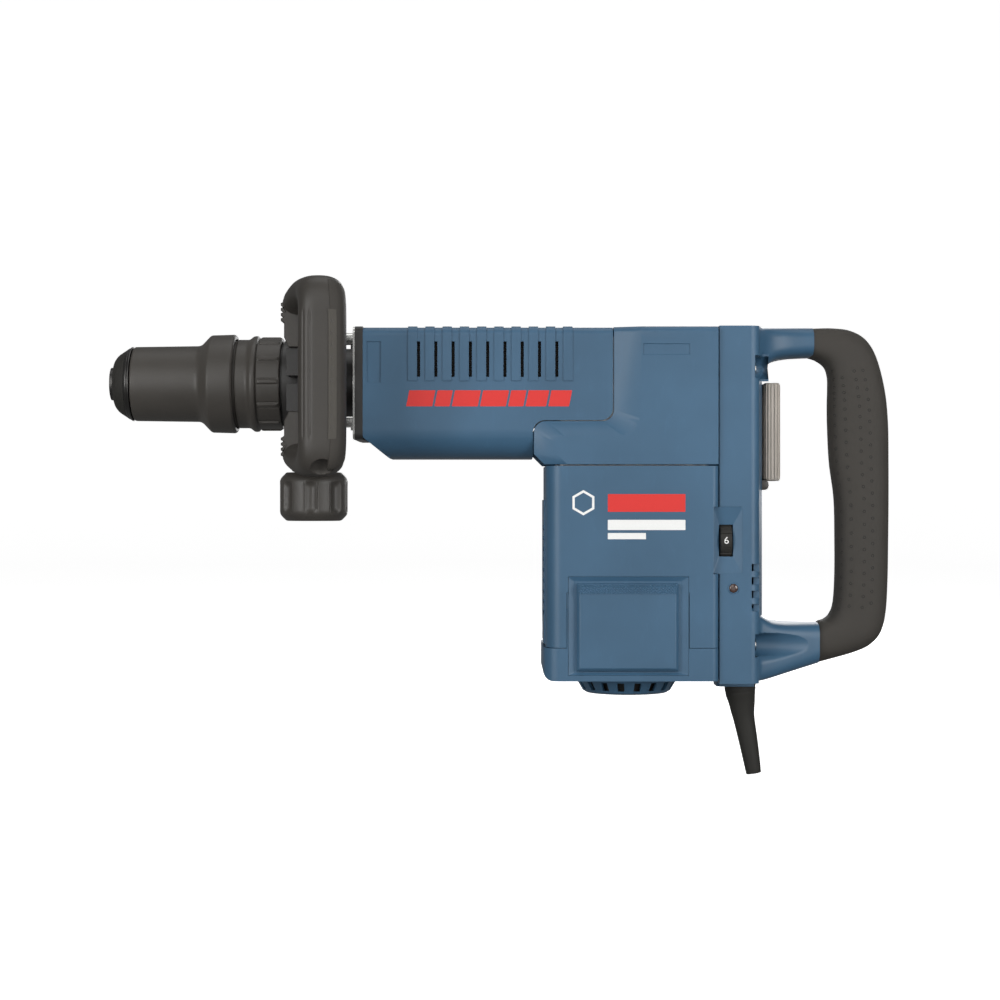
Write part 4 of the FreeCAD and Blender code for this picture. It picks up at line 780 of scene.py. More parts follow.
@dataclass
class Studio:
    """Camera, a pale floor that turns up all round as the backdrop, and soft lamps. Lengths in metres.

    Each lamp is its name, its place, the point it faces, its side and its power in watts.
    """

    distance: float = 1.6
    aim: tuple[float, float] = (0.298, -0.089)
    lens: float = 75.0
    floor_z: float = -0.3015
    floor_glow: float = 0.8
    bowl_radius: float = 7.0
    lamps: tuple[tuple[str, Point, Point, float, float], ...] = (
        ("key", (0.0, -1.8, 0.95), (0.3, 0, -0.05), 1.3, 9.0),
        ("left", (-0.95, -1.5, 0.15), (0.3, 0, -0.05), 0.8, 16.5),
        ("top", (0.4, 0.15, 1.9), (0.3, 0, 0), 1.6, 11.0),
        ("right", (1.55, -1.35, 0.2), (0.4, 0, -0.05), 0.8, 15.5),
        ("low", (0.5, -1.9, -0.25), (0.3, 0, -0.1), 1.2, 4.0),
        ("back", (0.9, 1.9, 0.45), (0.3, 0, -0.05), 1.2, 15.0))

    def build(self) -> None:
        """Makes everything round the hammer."""
        self.place_camera()
        self.lay_floor()
        self.hang_lamps()

    def place_camera(self) -> None:
        """A level camera that looks along +Y at the middle of the hammer."""
        lens = bpy.data.cameras.new("camera")
        lens.lens = self.lens
        lens.sensor_width = 36.0
        lens.clip_end = 50.0
        camera = bpy.data.objects.new("camera", lens)
        camera.location = (self.aim[0], -self.distance, self.aim[1])
        camera.rotation_euler = (math.pi / 2, 0, 0)
        bpy.context.scene.collection.objects.link(camera)
        bpy.context.scene.camera = camera

    def lay_floor(self) -> None:
        """A wide bowl all round: a flat disc turns up on a quarter circle and goes on as a round wall."""
        bend = 1.5
        turn = np.linspace(0, math.pi / 2, 24)
        radius = np.concatenate([[1.0], self.bowl_radius - bend + bend * np.sin(turn), [self.bowl_radius]])
        z = np.concatenate([[0.0], bend * (1 - np.cos(turn)), [8.0]]) + self.floor_z
        round_it = np.linspace(0, TAU, 96, endpoint=False)
        grid = stacked(self.aim[0] + radius[:, None] * np.cos(round_it), radius[:, None] * np.sin(round_it),
                       z[:, None])
        mesh = bpy.data.meshes.new("floor")
        faces = [*grid_faces(len(z), len(round_it), False, True), list(range(len(round_it)))]
        mesh.from_pydata(grid.reshape(-1, 3).tolist(), [], faces)
        mesh.shade_smooth()
        floor = bpy.data.objects.new("floor", mesh)
        bpy.context.scene.collection.objects.link(floor)
        paper = Recipe("pale_paper")
        mottle = paper.noise(3.0, 2.0)
        mesh.materials.append(paper.finish(
            Base_Color=paper.blend(mottle, (0.84, 0.84, 0.84), (0.88, 0.88, 0.88)), Roughness=0.9,
            Emission_Color=(1.0, 1.0, 1.0), Emission_Strength=self.floor_glow))
        floor.visible_diffuse = False
        floor.visible_glossy = False

    def hang_lamps(self) -> None:
        """A high key in front, a softbox at either side, lamps above, below and behind, and a weak sky."""
        scene = bpy.context.scene
        scene.view_settings.view_transform = "Standard"
        world = bpy.data.worlds.new("sky")
        world.use_nodes = True
        sky = world.node_tree.nodes["Background"]
        sky.inputs["Color"].default_value = (1.0, 1.0, 1.0, 1.0)
        sky.inputs["Strength"].default_value = 0.2
        scene.world = world
        for lamp in self.lamps:
            self.lamp(*lamp)

    def lamp(self, name: str, place: Point, aim: Point, size: float, power: float) -> None:
        """Hangs one square lamp and points it.

        Args:
            name: The lamp's name.
            place: Where it hangs.
            aim: What it points at.
            size: Its side.
            power: Its power in watts.
        """
        data = bpy.data.lights.new(name, "AREA")
        data.shape = "SQUARE"
        data.size = size
        data.energy = power
        lamp = bpy.data.objects.new(name, data)
        lamp.location = place
        towards = np.array(aim) - np.array(place)
        yaw, flat = math.atan2(towards[0], -towards[1]), math.hypot(towards[0], towards[1])
        lamp.rotation_euler = (math.atan2(flat, -towards[2]), 0, yaw + math.pi)
        bpy.context.scene.collection.objects.link(lamp)


@dataclass
class Shell:
    """One moulded or cast piece that keeps its CAD shape, with its edges broken."""

    node: str
    name: str
    slot: str
    body: str = "body"
    edge: float = 0.6
    finish: str | None = None
    cuts: tuple[tuple[float, ...], ...] = ()
    levels: tuple[float, ...] = ()

    def build(self) -> None:
        """Makes the eased copy and hides the plain one."""
        piece = softened_copy(self.node, self.name, self.edge, self.cuts, self.levels)
        dress(piece, self.slot, self.body, [self.node], self.finish)


@dataclass
class Casings:
    """The shells of the hammer, crank, motor and rear frame."""

    shells: list[Shell] = field(default_factory=lambda: [
        Shell("hammer_cover", "hammer_casing", "casing_blue", edge=0.7, levels=(16.15,)),
        Shell("crank_cover", "crank_casing", "casing_blue", edge=1.2),
        Shell("motor_housing", "motor_casing", "casing_blue", edge=0.8,
              levels=tuple(-110.25 - 8 * k for k in range(9))),
        Shell("lower_cap", "motor_end_cap", "casing_blue", edge=0.8),
        Shell("brush_cover_left", "brush_hatch_left", "casing_blue", edge=0.5, levels=(-183.5,)),
        Shell("brush_cover_right", "brush_hatch_right", "casing_blue", edge=0.5, levels=(-183.5,)),
        Shell("air_intake_grille", "intake_grille", "casing_blue", edge=0.4),
        Shell("rear_frame", "rear_casing", "casing_blue", edge=1.4,
              cuts=((496.2, -100, -300, 600, 100, 100), (491.3, -100, -300, 600, 100, -176),
                    *((488.2, y, z, 600, y + 30, z + 17.2) for y in (-63, 33) for z in (-206.4, 1.8)))),
        Shell("front_housing", "nose_casting", "black_metal", edge=0.5),
        Shell("flange_plate", "flange_gasket_plate", "bright_steel", edge=0.12),
        Shell("clamp_band", "handle_clamp_band", "bright_steel", "side_handle", edge=0.5,
              finish="black_metal"),
    ])

    def build(self) -> None:
        """Builds each shell in turn."""
        for shell in self.shells:
            shell.build()


@dataclass
class ToolHolder:
    """Dust cap, locking sleeve and indexing ring on the spindle. Lengths in millimetres."""

    ribs: int = 12
    rib_front: float = 115.0
    rib_back: float = 131.0
    rib_half_width: float = 1.3
    rib_height: float = 1.0

    def build(self) -> None:
        """Makes the turned pieces of the tool holder."""
        self.turn_dust_cap()
        self.turn_sleeve()
        self.turn_indexing_ring()

    def turn_dust_cap(self) -> None:
        """Soft cap with a domed nose and the ring that holds it."""
        cap = turned_about_x("nose_dust_cap", [
            (2.6, 12.6, 0.8), (9.0, 12.6), (9.0, 20.0), (12.9, 20.0), (12.9, 26.3, 0.3), (6.0, 21.8, 6.0),
            (3.2, 17.8, 3.0), (2.6, 14.4, 1.0)])
        dress(cap, "rubber", "tool_holder", ["dust_cap"], "dark_rubber")
        ring = turned_about_x("cap_retaining_ring", [
            (13.0, 20.0), (17.2, 20.0), (17.2, 28.3, 0.2), (16.5, 28.5, 0.3), (15.6, 28.0, 0.3),
            (15.2, 27.3, 0.3), (14.6, 27.4, 0.3), (13.0, 26.5, 0.3)])
        dress(ring, "ground_steel", "tool_holder", ["retaining_ring"], "dark_steel_and_painted_shade")

    def turn_sleeve(self) -> None:
        """Plain barrel that flares into a collar."""
        sleeve = turned_about_x("locking_barrel", [
            (17.6, 20.3), (20.6, 20.3), (20.6, 25.7), (46.5, 25.7), (46.5, 25.0), (58.0, 20.3), (58.0, 25.7),
            (68.4, 25.7), (77.4, 34.6), (96.5, 34.6), (96.5, 36.6, 0.6), (95.0, 37.8, 1.2), (77.4, 37.3, 3.0),
            (75.6, 35.6, 0.6), (69.4, 29.1, 3.0), (19.0, 28.4, 0.6), (17.8, 27.6, 0.5)], longest=4 * MM)
        dress(sleeve, "black_plastic", "locking_sleeve", ["locking_sleeve"])

    def rib_relief(self, x: Array, turn: Array) -> Array:
        """Raised ribs along the ring: height times a smooth step of the distance from the nearest rib.

        Args:
            x: Place along the axis, in metres.
            turn: Angle about the axis.

        Returns:
            Addition to the radius, in metres.
        """
        pitch = TAU / self.ribs
        off = np.abs((turn + pitch / 2) % pitch - pitch / 2) * 34.5
        across = np.clip((self.rib_half_width + 0.35 - off) / 0.7, 0, 1)
        groove = np.exp(-((off - self.rib_half_width - 0.9) / 0.45) ** 2)
        along = np.clip((x / MM - self.rib_front) / 0.8, 0, 1) * np.clip((self.rib_back - x / MM) / 0.8, 0, 1)
        return (across * self.rib_height - groove * 0.35) * along * MM

    def turn_indexing_ring(self) -> None:
        """Ring with a rounded bead in front and ribs for the fingers behind it."""
        ring = turned_about_x("chisel_indexing_ring", [
            (90.0, 20.3), (95.0, 20.3), (95.0, 31.2), (132.0, 31.2), (132.0, 34.3, 0.4), (131.2, 34.9, 0.6),
            (114.2, 34.9, 0.4), (113.2, 36.6, 0.8), (110.2, 36.8, 1.4), (106.6, 33.9, 1.6), (98.4, 33.9, 0.4),
            (97.6, 33.2, 0.3), (90.0, 33.2)], sides=864, relief=self.rib_relief, longest=1.2 * MM)
        dress(ring, "black_plastic", "indexing_ring", ["indexing_ring"])


@dataclass
class RearArms:
    """The handle's two arms, which grow out of the rear casing. Lengths in millimetres.

    Each station is x, half width, top, underside, and how square the section is.
    """

    upper: tuple[tuple[float, ...], ...] = (
        (474, 46.5, 40.4, -30, 9), (486, 45.5, 41.0, -25, 8), (490, 41.5, 41.2, -12, 7),
        (494, 35, 41.5, 2, 6), (499, 28, 41.8, 11, 5), (506, 23.5, 42.1, 16.5, 4),
        (516, 20.6, 42.4, 18.9, 3.4), (528, 19.6, 42.6, 19.7, 3), (536.4, 19.3, 42.6, 20, 3))
    lower: tuple[tuple[float, ...], ...] = (
        (474, 46.5, -165, -225, 12), (486, 46.4, -168, -225.6, 11), (490.6, 40.0, -172.3, -225.8, 10),
        (494, 36.0, -175.5, -225.6, 9), (498, 34.5, -178.2, -225.0, 8), (505, 32.4, -181.3, -223.2, 7),
        (515, 29.4, -182.5, -220.4, 6), (528, 25.4, -182.7, -216.8, 5), (540.4, 21.4, -182.7, -213.4, 4))
    screw_y: float = 33.0
    screw_z: tuple[float, float] = (10.4, -197.8)
    pocket_x: float = 488.2
    pocket_length: float = 80.0
    pocket_radius: float = 8.6
    side_back: float = 540.0
    side_depth: float = 30.0
    cup_wall: float = 1.6
    cup_ends: tuple[float, float] = (487.0, 500.0)
    paddle_room: tuple[Point, Point] = ((484, -18.4, -40), (500.8, 18.4, 3.2))
    lug_middle: tuple[float, float] = (497.6, -77.6)
    lug_half: tuple[float, float] = (3.9, 3.8)
    lug_y: tuple[float, ...] = (17.3, 17.6, 21.4, 22.2, 22.6)
    lug_shares: tuple[float, ...] = (0.93, 1.0, 1.0, 0.9, 0.6)

    def arm(self, name: str, stations: tuple[tuple[float, ...], ...], screw_z: float) -> None:
        """Carries a superellipse through the stations, then bores the two screw pockets from behind.

        A block is taken out as well, where the top of the paddle goes when it is pressed.

        Args:
            name: The piece's name.
            stations: The arm's stations.
            screw_z: Height of the pockets' axes.
        """
        table = smooth_through(np.array(stations, dtype=float), 10)
        x, half, top, low, power = (table[:, k][:, None] for k in range(5))
        angle = np.linspace(0, TAU, 128, endpoint=False)[None, :]
        across, up = np.cos(angle), np.sin(angle)
        across = np.sign(across) * np.abs(across) ** (2 / power)
        up = np.sign(up) * np.abs(up) ** (2 / power)
        grid = stacked(x, half * across, (top + low) / 2 + (top - low) / 2 * up)
        cutters = [round_bar("cutter", (self.pocket_x, side * self.screw_y, screw_z), self.pocket_length,
                             self.pocket_radius) for side in (-1, 1)]
        low_z, high_z = screw_z - self.pocket_radius, screw_z + self.pocket_radius
        cutters += [box_piece("cutter", (self.pocket_x, y, low_z),
                              (self.side_back, y + self.side_depth, high_z))
                    for y in (-self.screw_y - self.side_depth, self.screw_y)]
        cutters.append(box_piece("cutter", *self.paddle_room))
        piece = carved(skin(name, grid * MM), cutters)
        dress(piece, "casing_blue", "body")

    def build(self) -> None:
        """Makes both arms and the lugs of the paddle's hinge."""
        self.arm("upper_handle_arm", self.upper, self.screw_z[0])
        self.arm("lower_handle_arm", self.lower, self.screw_z[1])
        self.screw_cups()
        depth, width = oval(48, 2.6)
        (x, z), (half_x, half_z) = self.lug_middle, self.lug_half
        share = np.array(self.lug_shares)[:, None]
        for side, name in ((-1, "paddle_lug_left"), (1, "paddle_lug_right")):
            y = np.array(self.lug_y)[:, None] * side
            grid = stacked(x + half_x * share * depth, y, z + half_z * share * width)
            dress(skin(name, grid * MM), "black_plastic", "body")

    def screw_cups(self) -> None:
        """Half pipes for the two upper screws, open to the side: an inner and an outer half circle."""
        turn = np.linspace(-math.pi / 2, math.pi / 2, 40)
        radius = self.pocket_radius + np.repeat([0.0, self.cup_wall], len(turn))
        turn = np.concatenate([turn, turn[::-1]])
        for side, name in ((-1, "screw_cup_left"), (1, "screw_cup_right")):
            y = side * (self.screw_y - radius * np.cos(turn))
            z = self.screw_z[0] + radius * np.sin(turn)
            grid = stacked(np.array(self.cup_ends)[:, None], y, z)
            dress(skin(name, grid * MM), "casing_blue", "body")


@dataclass
class CasingDetails:
    """Frames round hatches and dial, knurled strips, and what shows through slots. Lengths in millimetres."""

    panel_face: float = 57.6
    knurl_pitch: float = 2.4
    knurl_height: float = 0.55
    screen_face: float = 41.2
    screen_pitch: float = 1.5
    screen_back: float = 39.5
    grille_axis: float = 395.0
    filter_profile: tuple[tuple[float, float], ...] = (
        (24.0, -224.4), (29.4, -224.4), (29.4, -233.0), (24.0, -233.0))

    def build(self) -> None:
        """Makes the details of both sides."""
        for side, word in ((-1, "left"), (1, "right")):
            self.frame_hatch(side, word)
            self.knurl_hatch(side, word)
            self.screen(side, word)
        self.frame_dial()
        self.fill_grille()

    @staticmethod
    def box_ring(x0: float, z0: float, x1: float, z1: float, r: float) -> Array:
        """A rounded rectangle as a ring of points."""
        return rounded_run([(x0, z0, r), (x1, z0, r), (x1, z1, r), (x0, z1, r)])

    def frame_hatch(self, side: int, word: str) -> None:
        """Sloping surround between the casing's side and the brush cover's raised panel.

        Args:
            side: -1 or 1 for the side of the casing.
            word: The side's name.
        """
        outside = self.box_ring(348.9, -219.1, 438.0, -146.0, 1.2)
        inside = self.box_ring(353.6, -217.2, 431.9, -149.8, 1.0)
        piece = framed(f"hatch_surround_{word}", outside, inside, [side * y for y in (54.1, 52.5, 51.5)])
        dress(piece, "casing_blue", "body")

    def knurl_hatch(self, side: int, word: str) -> None:
        """Finger strip of small pyramids: the lower of two triangle waves that run across each other.

        Args:
            side: -1 or 1 for the side of the casing.
            word: The side's name.
        """
        x, z = np.arange(356.2, 429.4, 0.24), np.arange(-158.6, -151.8, 0.24)
        u = (x[None, :] + z[:, None]) / self.knurl_pitch
        v = (x[None, :] - z[:, None]) / self.knurl_pitch
        wave = np.minimum(np.abs((u % 1) * 2 - 1), np.abs((v % 1) * 2 - 1))
        height = np.clip(wave * 1.6, 0, 1) * self.knurl_height
        front = side * (self.panel_face - 0.15 + height)
        piece = slab(f"knurled_strip_{word}", x, z, front, side * (self.panel_face - 1.0))
        dress(piece, "casing_blue", "body")

    def screen(self, side: int, word: str) -> None:
        """Dark ribbed duct wall behind the cooling slots.

        Args:
            side: -1 or 1 for the side of the casing.
            word: The side's name.
        """
        x, z = np.array([236.0, 345.0]), np.arange(0.6, 31.6, 0.25)
        wave = np.cos(z / self.screen_pitch * TAU)[:, None] * 0.35
        piece = slab(f"duct_screen_{word}", x, z, side * (self.screen_face + wave + 0 * x),
                     side * self.screen_back)
        dress(piece, "black_plastic", "body", finish="dark_rubber")

    def frame_dial(self) -> None:
        """Funnel from the casing's side down to the speed dial's window."""
        outside = self.box_ring(457.0, -143.8, 478.6, -94.2, 1.6)
        inside = self.box_ring(461.3, -131.2, 471.9, -107.4, 1.0)
        dress(framed("dial_funnel", outside, inside, (-48.3, -45.7, -45.0)), "casing_blue", "body")

    def fill_grille(self) -> None:
        """Dark filter behind the windows of the intake grille: its profile turned about an upright axis."""
        turn = np.linspace(0, TAU, 72, endpoint=False)
        radius, z = np.hsplit(np.array(self.filter_profile), 2)
        grid = stacked(self.grille_axis + radius * np.cos(turn), radius * np.sin(turn), z)
        piece = skin("intake_filter", grid * MM, smooth_angle=25.0)
        dress(piece, "black_plastic", "body", finish="dark_rubber")


@dataclass
class RearGrip:
    """Rubber grip at the back of the closed handle. Lengths in millimetres.

    Each station is the grip's outer point (x, z) and its inner point (x, z), from the upper arm down.
    """

    stations: tuple[tuple[float, float, float, float], ...] = (
        (536.9, 42.4, 534.3, 20.0), (552, 42.6, 541, 17.6), (566, 40.8, 547.2, 12.6), (578, 34, 549.6, 5),
        (586.5, 20, 549.7, -5), (592.9, -5, 549.4, -16), (595.4, -30, 549.6, -33), (595.8, -60, 551, -60),
        (595.8, -90, 554.6, -88), (595.5, -120, 555.3, -120), (595, -150, 555.2, -148),
        (593.6, -174, 553.8, -168), (590, -189.5, 550.6, -176.5), (582, -199.3, 546.4, -180.2),
        (569, -205.6, 542.6, -181.4),
        (541.2, -213.4, 540.9, -182.7))
    half_width: float = 18.0
    squareness: float = 2.7
    dimple_radius: float = 1.3
    row_shares: tuple[float, ...] = (-0.84, -0.52, -0.04, 0.28)
    dimple_span: tuple[float, float] = (-0.174, 0.010)
    row_pitches: tuple[float, ...] = (10.0, 10.0, 9.4, 9.4)

    def lines(self, steps: int) -> tuple[Array, Array]:
        """Outer and inner lines of the grip, in metres, smoothed through the stations."""
        table = smooth_through(np.array(self.stations), steps) * MM
        return table[:, :2], table[:, 2:]

    def section(self, columns: int) -> tuple[Array, Array]:
        """The section's depth and width shares: an oval flattened towards a rounded box."""
        return oval(columns, self.squareness)

    def build(self) -> None:
        """Carries the section along the two lines, then lays the dimples on it."""
        outer, inner = self.lines(10)
        depth, width = self.section(96)
        middle, half = (outer + inner) / 2, (outer - inner) / 2
        grid = np.empty((len(outer), len(depth), 3))
        grid[..., 0] = middle[:, :1] + half[:, :1] * depth
        grid[..., 2] = middle[:, 1:] + half[:, 1:] * depth
        grid[..., 1] = self.half_width * MM * width * (1 - 0.06 * depth)
        dress(skin("moulded_rear_grip", grid), "rubber", "body", ["handle_grip"])
        self.lay_dimples(outer, inner)

    def lay_dimples(self, outer: Array, inner: Array) -> None:
        """Small raised rings in staggered rows on both sides: a ring's section is a low half circle.

        Args:
            outer: The grip's outer line, in metres.
            inner: The grip's inner line, in metres.
        """
        length = np.concatenate([[0], np.cumsum(np.linalg.norm(np.diff(outer, axis=0), axis=1))])
        places = []
        for number, (share, pitch) in enumerate(zip(self.row_shares, self.row_pitches)):
            reach = np.arange(10 + (number % 2) * pitch / 2, 400, pitch) * MM
            out = np.stack([np.interp(reach, length, outer[:, k]) for k in (0, 1)], axis=1)
            inn = np.stack([np.interp(reach, length, inner[:, k]) for k in (0, 1)], axis=1)
            spot = (out + inn) / 2 + (out - inn) / 2 * share
            kept = (spot[:, 1] > self.dimple_span[0]) & (spot[:, 1] < self.dimple_span[1])
            reach, out, inn, spot = reach[kept], out[kept], inn[kept], spot[kept]
            width = (1 - abs(share) ** self.squareness) ** (1 / self.squareness) * (1 - 0.06 * share)
            lean = (out - inn) / np.linalg.norm(out - inn, axis=1)[:, None]
            tilt = abs(share) ** (self.squareness - 1) * np.sign(share) * 0.9
            for side in (-1, 1):
                y = np.full(len(reach), side * self.half_width * MM * width)
                normal = stacked(lean[:, 0] * tilt, float(side), lean[:, 1] * tilt)
                places.append(np.hstack([spot[:, :1], y[:, None], spot[:, 1:], normal]))
        dress(rings_on(np.vstack(places), "rear_grip_dimples", self.dimple_radius * MM), "rubber", "body",
              finish="dark_rubber")


def rings_on(places: Array, name: str, radius: float, wire: float = 0.00032) -> bpy.types.Object:
    """Small rings laid on a surface, in one mesh.

    Args:
        places: One row for each ring: its middle and its outward direction.
        name: The piece's name.
        radius: The rings' radius.
        wire: Radius of the rings' own section.

    Returns:
        The piece.
    """
    around, across = 12, 4
    a = np.linspace(0, TAU, around, endpoint=False)
    b = np.linspace(0, TAU, across, endpoint=False) + math.pi / across
    reach = radius - wire + wire * np.cos(b)[None, :]
    local = np.stack([np.cos(a)[:, None] * reach, np.sin(a)[:, None] * reach,
                      np.broadcast_to(wire * np.sin(b), (around, across))], axis=-1).reshape(-1, 3)
    normal = places[:, 3:] / np.linalg.norm(places[:, 3:], axis=1)[:, None]
    first = np.cross(normal, [0.0, 0.0, 1.0])
    first /= np.linalg.norm(first, axis=1)[:, None]
    second = np.cross(normal, first)
    basis = np.stack([first, second, normal], axis=1)
    points = np.einsum("vk,nkc->nvc", local, basis) + places[:, None, :3]
    one = np.array(grid_faces(around, across, True, True))
    faces = (one[None] + (np.arange(len(places)) * len(local))[:, None, None]).reshape(-1, 4)
    return rest_piece(name, points, faces.tolist(), 60.0)


@dataclass
class SideHandle:
    """D-shaped side handle: stiff loop, rubber back and lobed clamp knob. Lengths in millimetres.

    Each station is the loop's outer point (y, z), its inner point (y, z), its front edge, how square the
    section is and its rear edge, from the upper foot to the middle of the bar.
    """

    upper_half: tuple[tuple[float, ...], ...] = (
        (-62, 66.2, -62, 45, 137.5, 2.6, 182), (-74, 68.4, -71, 49, 140, 2.5, 182.6),
        (-92, 72, -82, 50, 145, 2.4, 183.6), (-106, 72, -89, 50, 149, 2.4, 185),
        (-116, 70.6, -93, 48.6, 151.5, 2.5, 186.2), (-124, 65, -95.2, 45.5, 153, 2.7, 187.2),
        (-128, 54, -96, 39, 154, 3.0, 187.6), (-128, 36, -96, 27, 154, 3.4, 187.6),
        (-128, 12, -96, 9, 154, 3.4, 187.6))
    pocket_radius: float = 10.6
    pocket_middle: tuple[float, float] = (172.4, -125.5)
    pocket_foot: float = -90.0
    pocket_top: float = -70.6
    knob: tuple[float, float] = (159.4, -48.0)
    knob_radius: float = 25.3
    knob_top: float = -68.5
    knob_bottom: float = -104.5
    lobes: int = 8

    def lines(self, steps: int) -> Array:
        """All seven values along the whole loop: the lower half is the upper one turned over."""
        upper = np.array(self.upper_half)
        lower = upper[::-1] * np.array([1, -1, 1, -1, 1, 1, 1])
        return smooth_through(np.vstack([upper, lower]), steps)

    def loop(self, table: Array, angle: Array, grow: float = 0.0) -> Array:
        """Carries part of the section, given by its angles from +X towards the outside, along the loop.

        Args:
            table: Stations along the loop.
            angle: The section's angles.
            grow: Growth outwards.

        Returns:
            The grid of points.
        """
        out, inn, front, power, rear = np.split(table, (2, 4, 5, 6), axis=1)
        width, depth = np.cos(angle)[None, :], np.sin(angle)[None, :]
        width = np.sign(width) * np.abs(width) ** (2 / power)
        depth = np.sign(depth) * np.abs(depth) ** (2 / power)
        middle, half = (out + inn) / 2, (out - inn) / 2
        half = half * (1 + grow / np.linalg.norm(half, axis=1))[:, None]
        centre, reach = (front + rear) / 2, (rear - front) / 2 + grow
        grid = np.empty((len(table), len(angle), 3))
        grid[..., 0] = centre + reach * width
        grid[..., 1] = middle[:, :1] + half[:, :1] * depth
        grid[..., 2] = middle[:, 1:] + half[:, 1:] * depth
        return grid

    def build(self) -> None:
        """Makes the loop, the rubber back, the two feet and the knob."""
        self.mould_loop()
        self.mould_grip()
        self.mould_feet()
        self.mould_knob()

    def mould_loop(self) -> None:
        """The loop, with two creases along its outer face and a scallop above the knob."""
        table = self.lines(12)
        angle = np.linspace(0, TAU, 144, endpoint=False)
        grid = self.loop(table, angle)
        x, z = grid[..., 0], grid[..., 2]
        outer = np.clip(np.sin(angle), 0, 1)[None, :]
        along = np.clip((47 - np.abs(z)) / 4, 0, 1)
        crease = sum(np.exp(-((x - at) / 0.7) ** 2) for at in (158.6, 163.4)) * along * 0.7
        grid[..., 1] += crease * outer
        piece = carved(skin("side_handle_loop", grid * MM), [self.thumb_pocket()])
        dress(piece, "black_plastic", "side_handle", ["side_handle_frame"], "handle_nylon")

    def thumb_pocket(self) -> bpy.types.Object:
        """The pocket above the knob: an upright round bar with a domed top."""
        rise = np.linspace(0, math.pi / 2, 14)[:-1]
        radius = np.concatenate([[self.pocket_radius], self.pocket_radius * np.cos(rise)])
        z = np.concatenate([[self.pocket_foot], self.pocket_top + self.pocket_radius * np.sin(rise)])
        turn = np.linspace(0, TAU, 72, endpoint=False)
        x, y = self.pocket_middle
        grid = stacked(x + radius[:, None] * np.cos(turn), y + radius[:, None] * np.sin(turn), z[:, None])
        return skin("cutter", grid * MM)

    def mould_grip(self) -> None:
        """Rubber on the loop's rear edge: the part of the oval behind a line, grown a little outwards."""
        table = self.lines(12)
        table = table[np.abs(table[:, 1]) < 68]
        angle = np.linspace(-0.42 * math.pi, 0.42 * math.pi, 40)
        outside = self.loop(table, angle, 0.45)
        inside = self.loop(table, angle[::-1], -2.0)
        dress(skin("side_handle_rubber", np.concatenate([outside, inside], axis=1) * MM), "rubber",
              "side_handle", ["side_grip"])
        strip = table[np.abs(table[:, 1]) < 46.5]
        angle = np.linspace(0.333 * math.pi, 0.448 * math.pi, 12)
        ribbon = np.concatenate([self.loop(strip, angle, 0.9), self.loop(strip, angle[::-1], -0.4)], axis=1)
        dress(skin("side_handle_finger_strip", ribbon * MM), "rubber", "side_handle", finish="strip_rubber")
        z = np.linspace(-37.6, 37.6, 10)
        spots = [(np.full_like(z, x), np.full_like(z, y), z + shift, tilt)
                 for x, y, shift, tilt in ((179.6, -128.3, 0.0, 0.35), (185.0, -124.5, 4.2, 1.0))]
        places = np.vstack([np.hstack([stacked(x, y, at) * MM, stacked(np.full_like(z, tilt), -1.0, 0.0)])
                            for x, y, at, tilt in spots])
        dimples = rings_on(places, "side_grip_dimples", 1.5 * MM)
        dress(dimples, "rubber", "side_handle", finish="black_plastic")

    def mould_feet(self) -> None:
        """Feet above and below the band, whose front faces step back at each tooth that bears on it."""
        for side, name in ((1, "side_handle_foot_upper"), (-1, "side_handle_foot_lower")):
            run = []
            for low in np.linspace(42.4, 53.8, 4):
                run += [(137.6, low), (136.2, low + 0.7), (136.2, low + 2.5), (137.6, low + 3.1)]
            edge = [(142.0, 23.6), (138.6, 31.0), (138.6, 41.4), *run,
                    (145.0, 68.0), (170.0, 68.0), (170.0, 23.6)]
            corners = np.array(edge)
            corners = np.stack([corners[:, 0], corners[:, 1] * side], axis=1)
            y = np.array([-65.0, -64.2, -62.0, -37.0, -35.6])
            shrink = np.array([0.9, 0.2, 0.0, 0.0, 0.6])
            middle = np.array([155.0, 45.0 * side])
            pull = (middle - corners) / np.linalg.norm(middle - corners, axis=1)[:, None]
            grid = np.empty((len(y), len(corners), 3))
            grid[..., 0] = corners[:, 0] + pull[:, 0] * shrink[:, None]
            grid[..., 2] = corners[:, 1] + pull[:, 1] * shrink[:, None]
            grid[..., 1] = y[:, None]
            dress(skin(name, grid * MM, smooth_angle=25.0), "black_plastic", "side_handle")

    def mould_knob(self) -> None:
        """Knob whose radius dips between its lobes: radius less a rounded flute that fades at both rims."""
        rim, top, bottom = self.knob_radius, self.knob_top, self.knob_bottom
        run = densified(rounded_run([
            (4.1, top), (rim - 5, top, 0.5), (rim, top - 5, 3.0), (rim, bottom + 5, 3.0),
            (rim - 5, bottom, 1.5), (16.0, bottom, 0.5), (15.0, bottom + 1.6, 0.5),
            (9.0, bottom + 1.6, 0.5), (8.0, bottom + 3.5), (4.1, bottom + 3.5)]), 1.4)
        turn = np.linspace(0, TAU, 384, endpoint=False)
        pitch = TAU / self.lobes
        off = np.abs((turn + math.pi / 2 + pitch / 2) % pitch - pitch / 2) / (pitch / 2)
        flute = np.clip(1 - (off / 0.46) ** 2, 0, 1)
        line = np.exp(-((off - 0.5) / 0.035) ** 2)
        height = run[:, 1]
        low, high = bottom + 6, top - 7
        window = np.clip((height - low) / 3.5, 0, 1) * np.clip((high - height) / 3.5, 0, 1)
        dip = (flute[None, :] * 2.4 + line[None, :] * 0.5) * np.sqrt(window)[:, None]
        radius = run[:, :1] - dip * (run[:, :1] > 20)
        grid = np.stack([self.knob[0] + radius * np.cos(turn), self.knob[1] + radius * np.sin(turn),
                         np.broadcast_to(height[:, None], radius.shape)], axis=-1)
        knob = skin("lobed_clamp_knob", grid * MM, wrap_rows=True)
        dress(knob, "black_plastic", "clamp_knob", ["clamp_knob"])


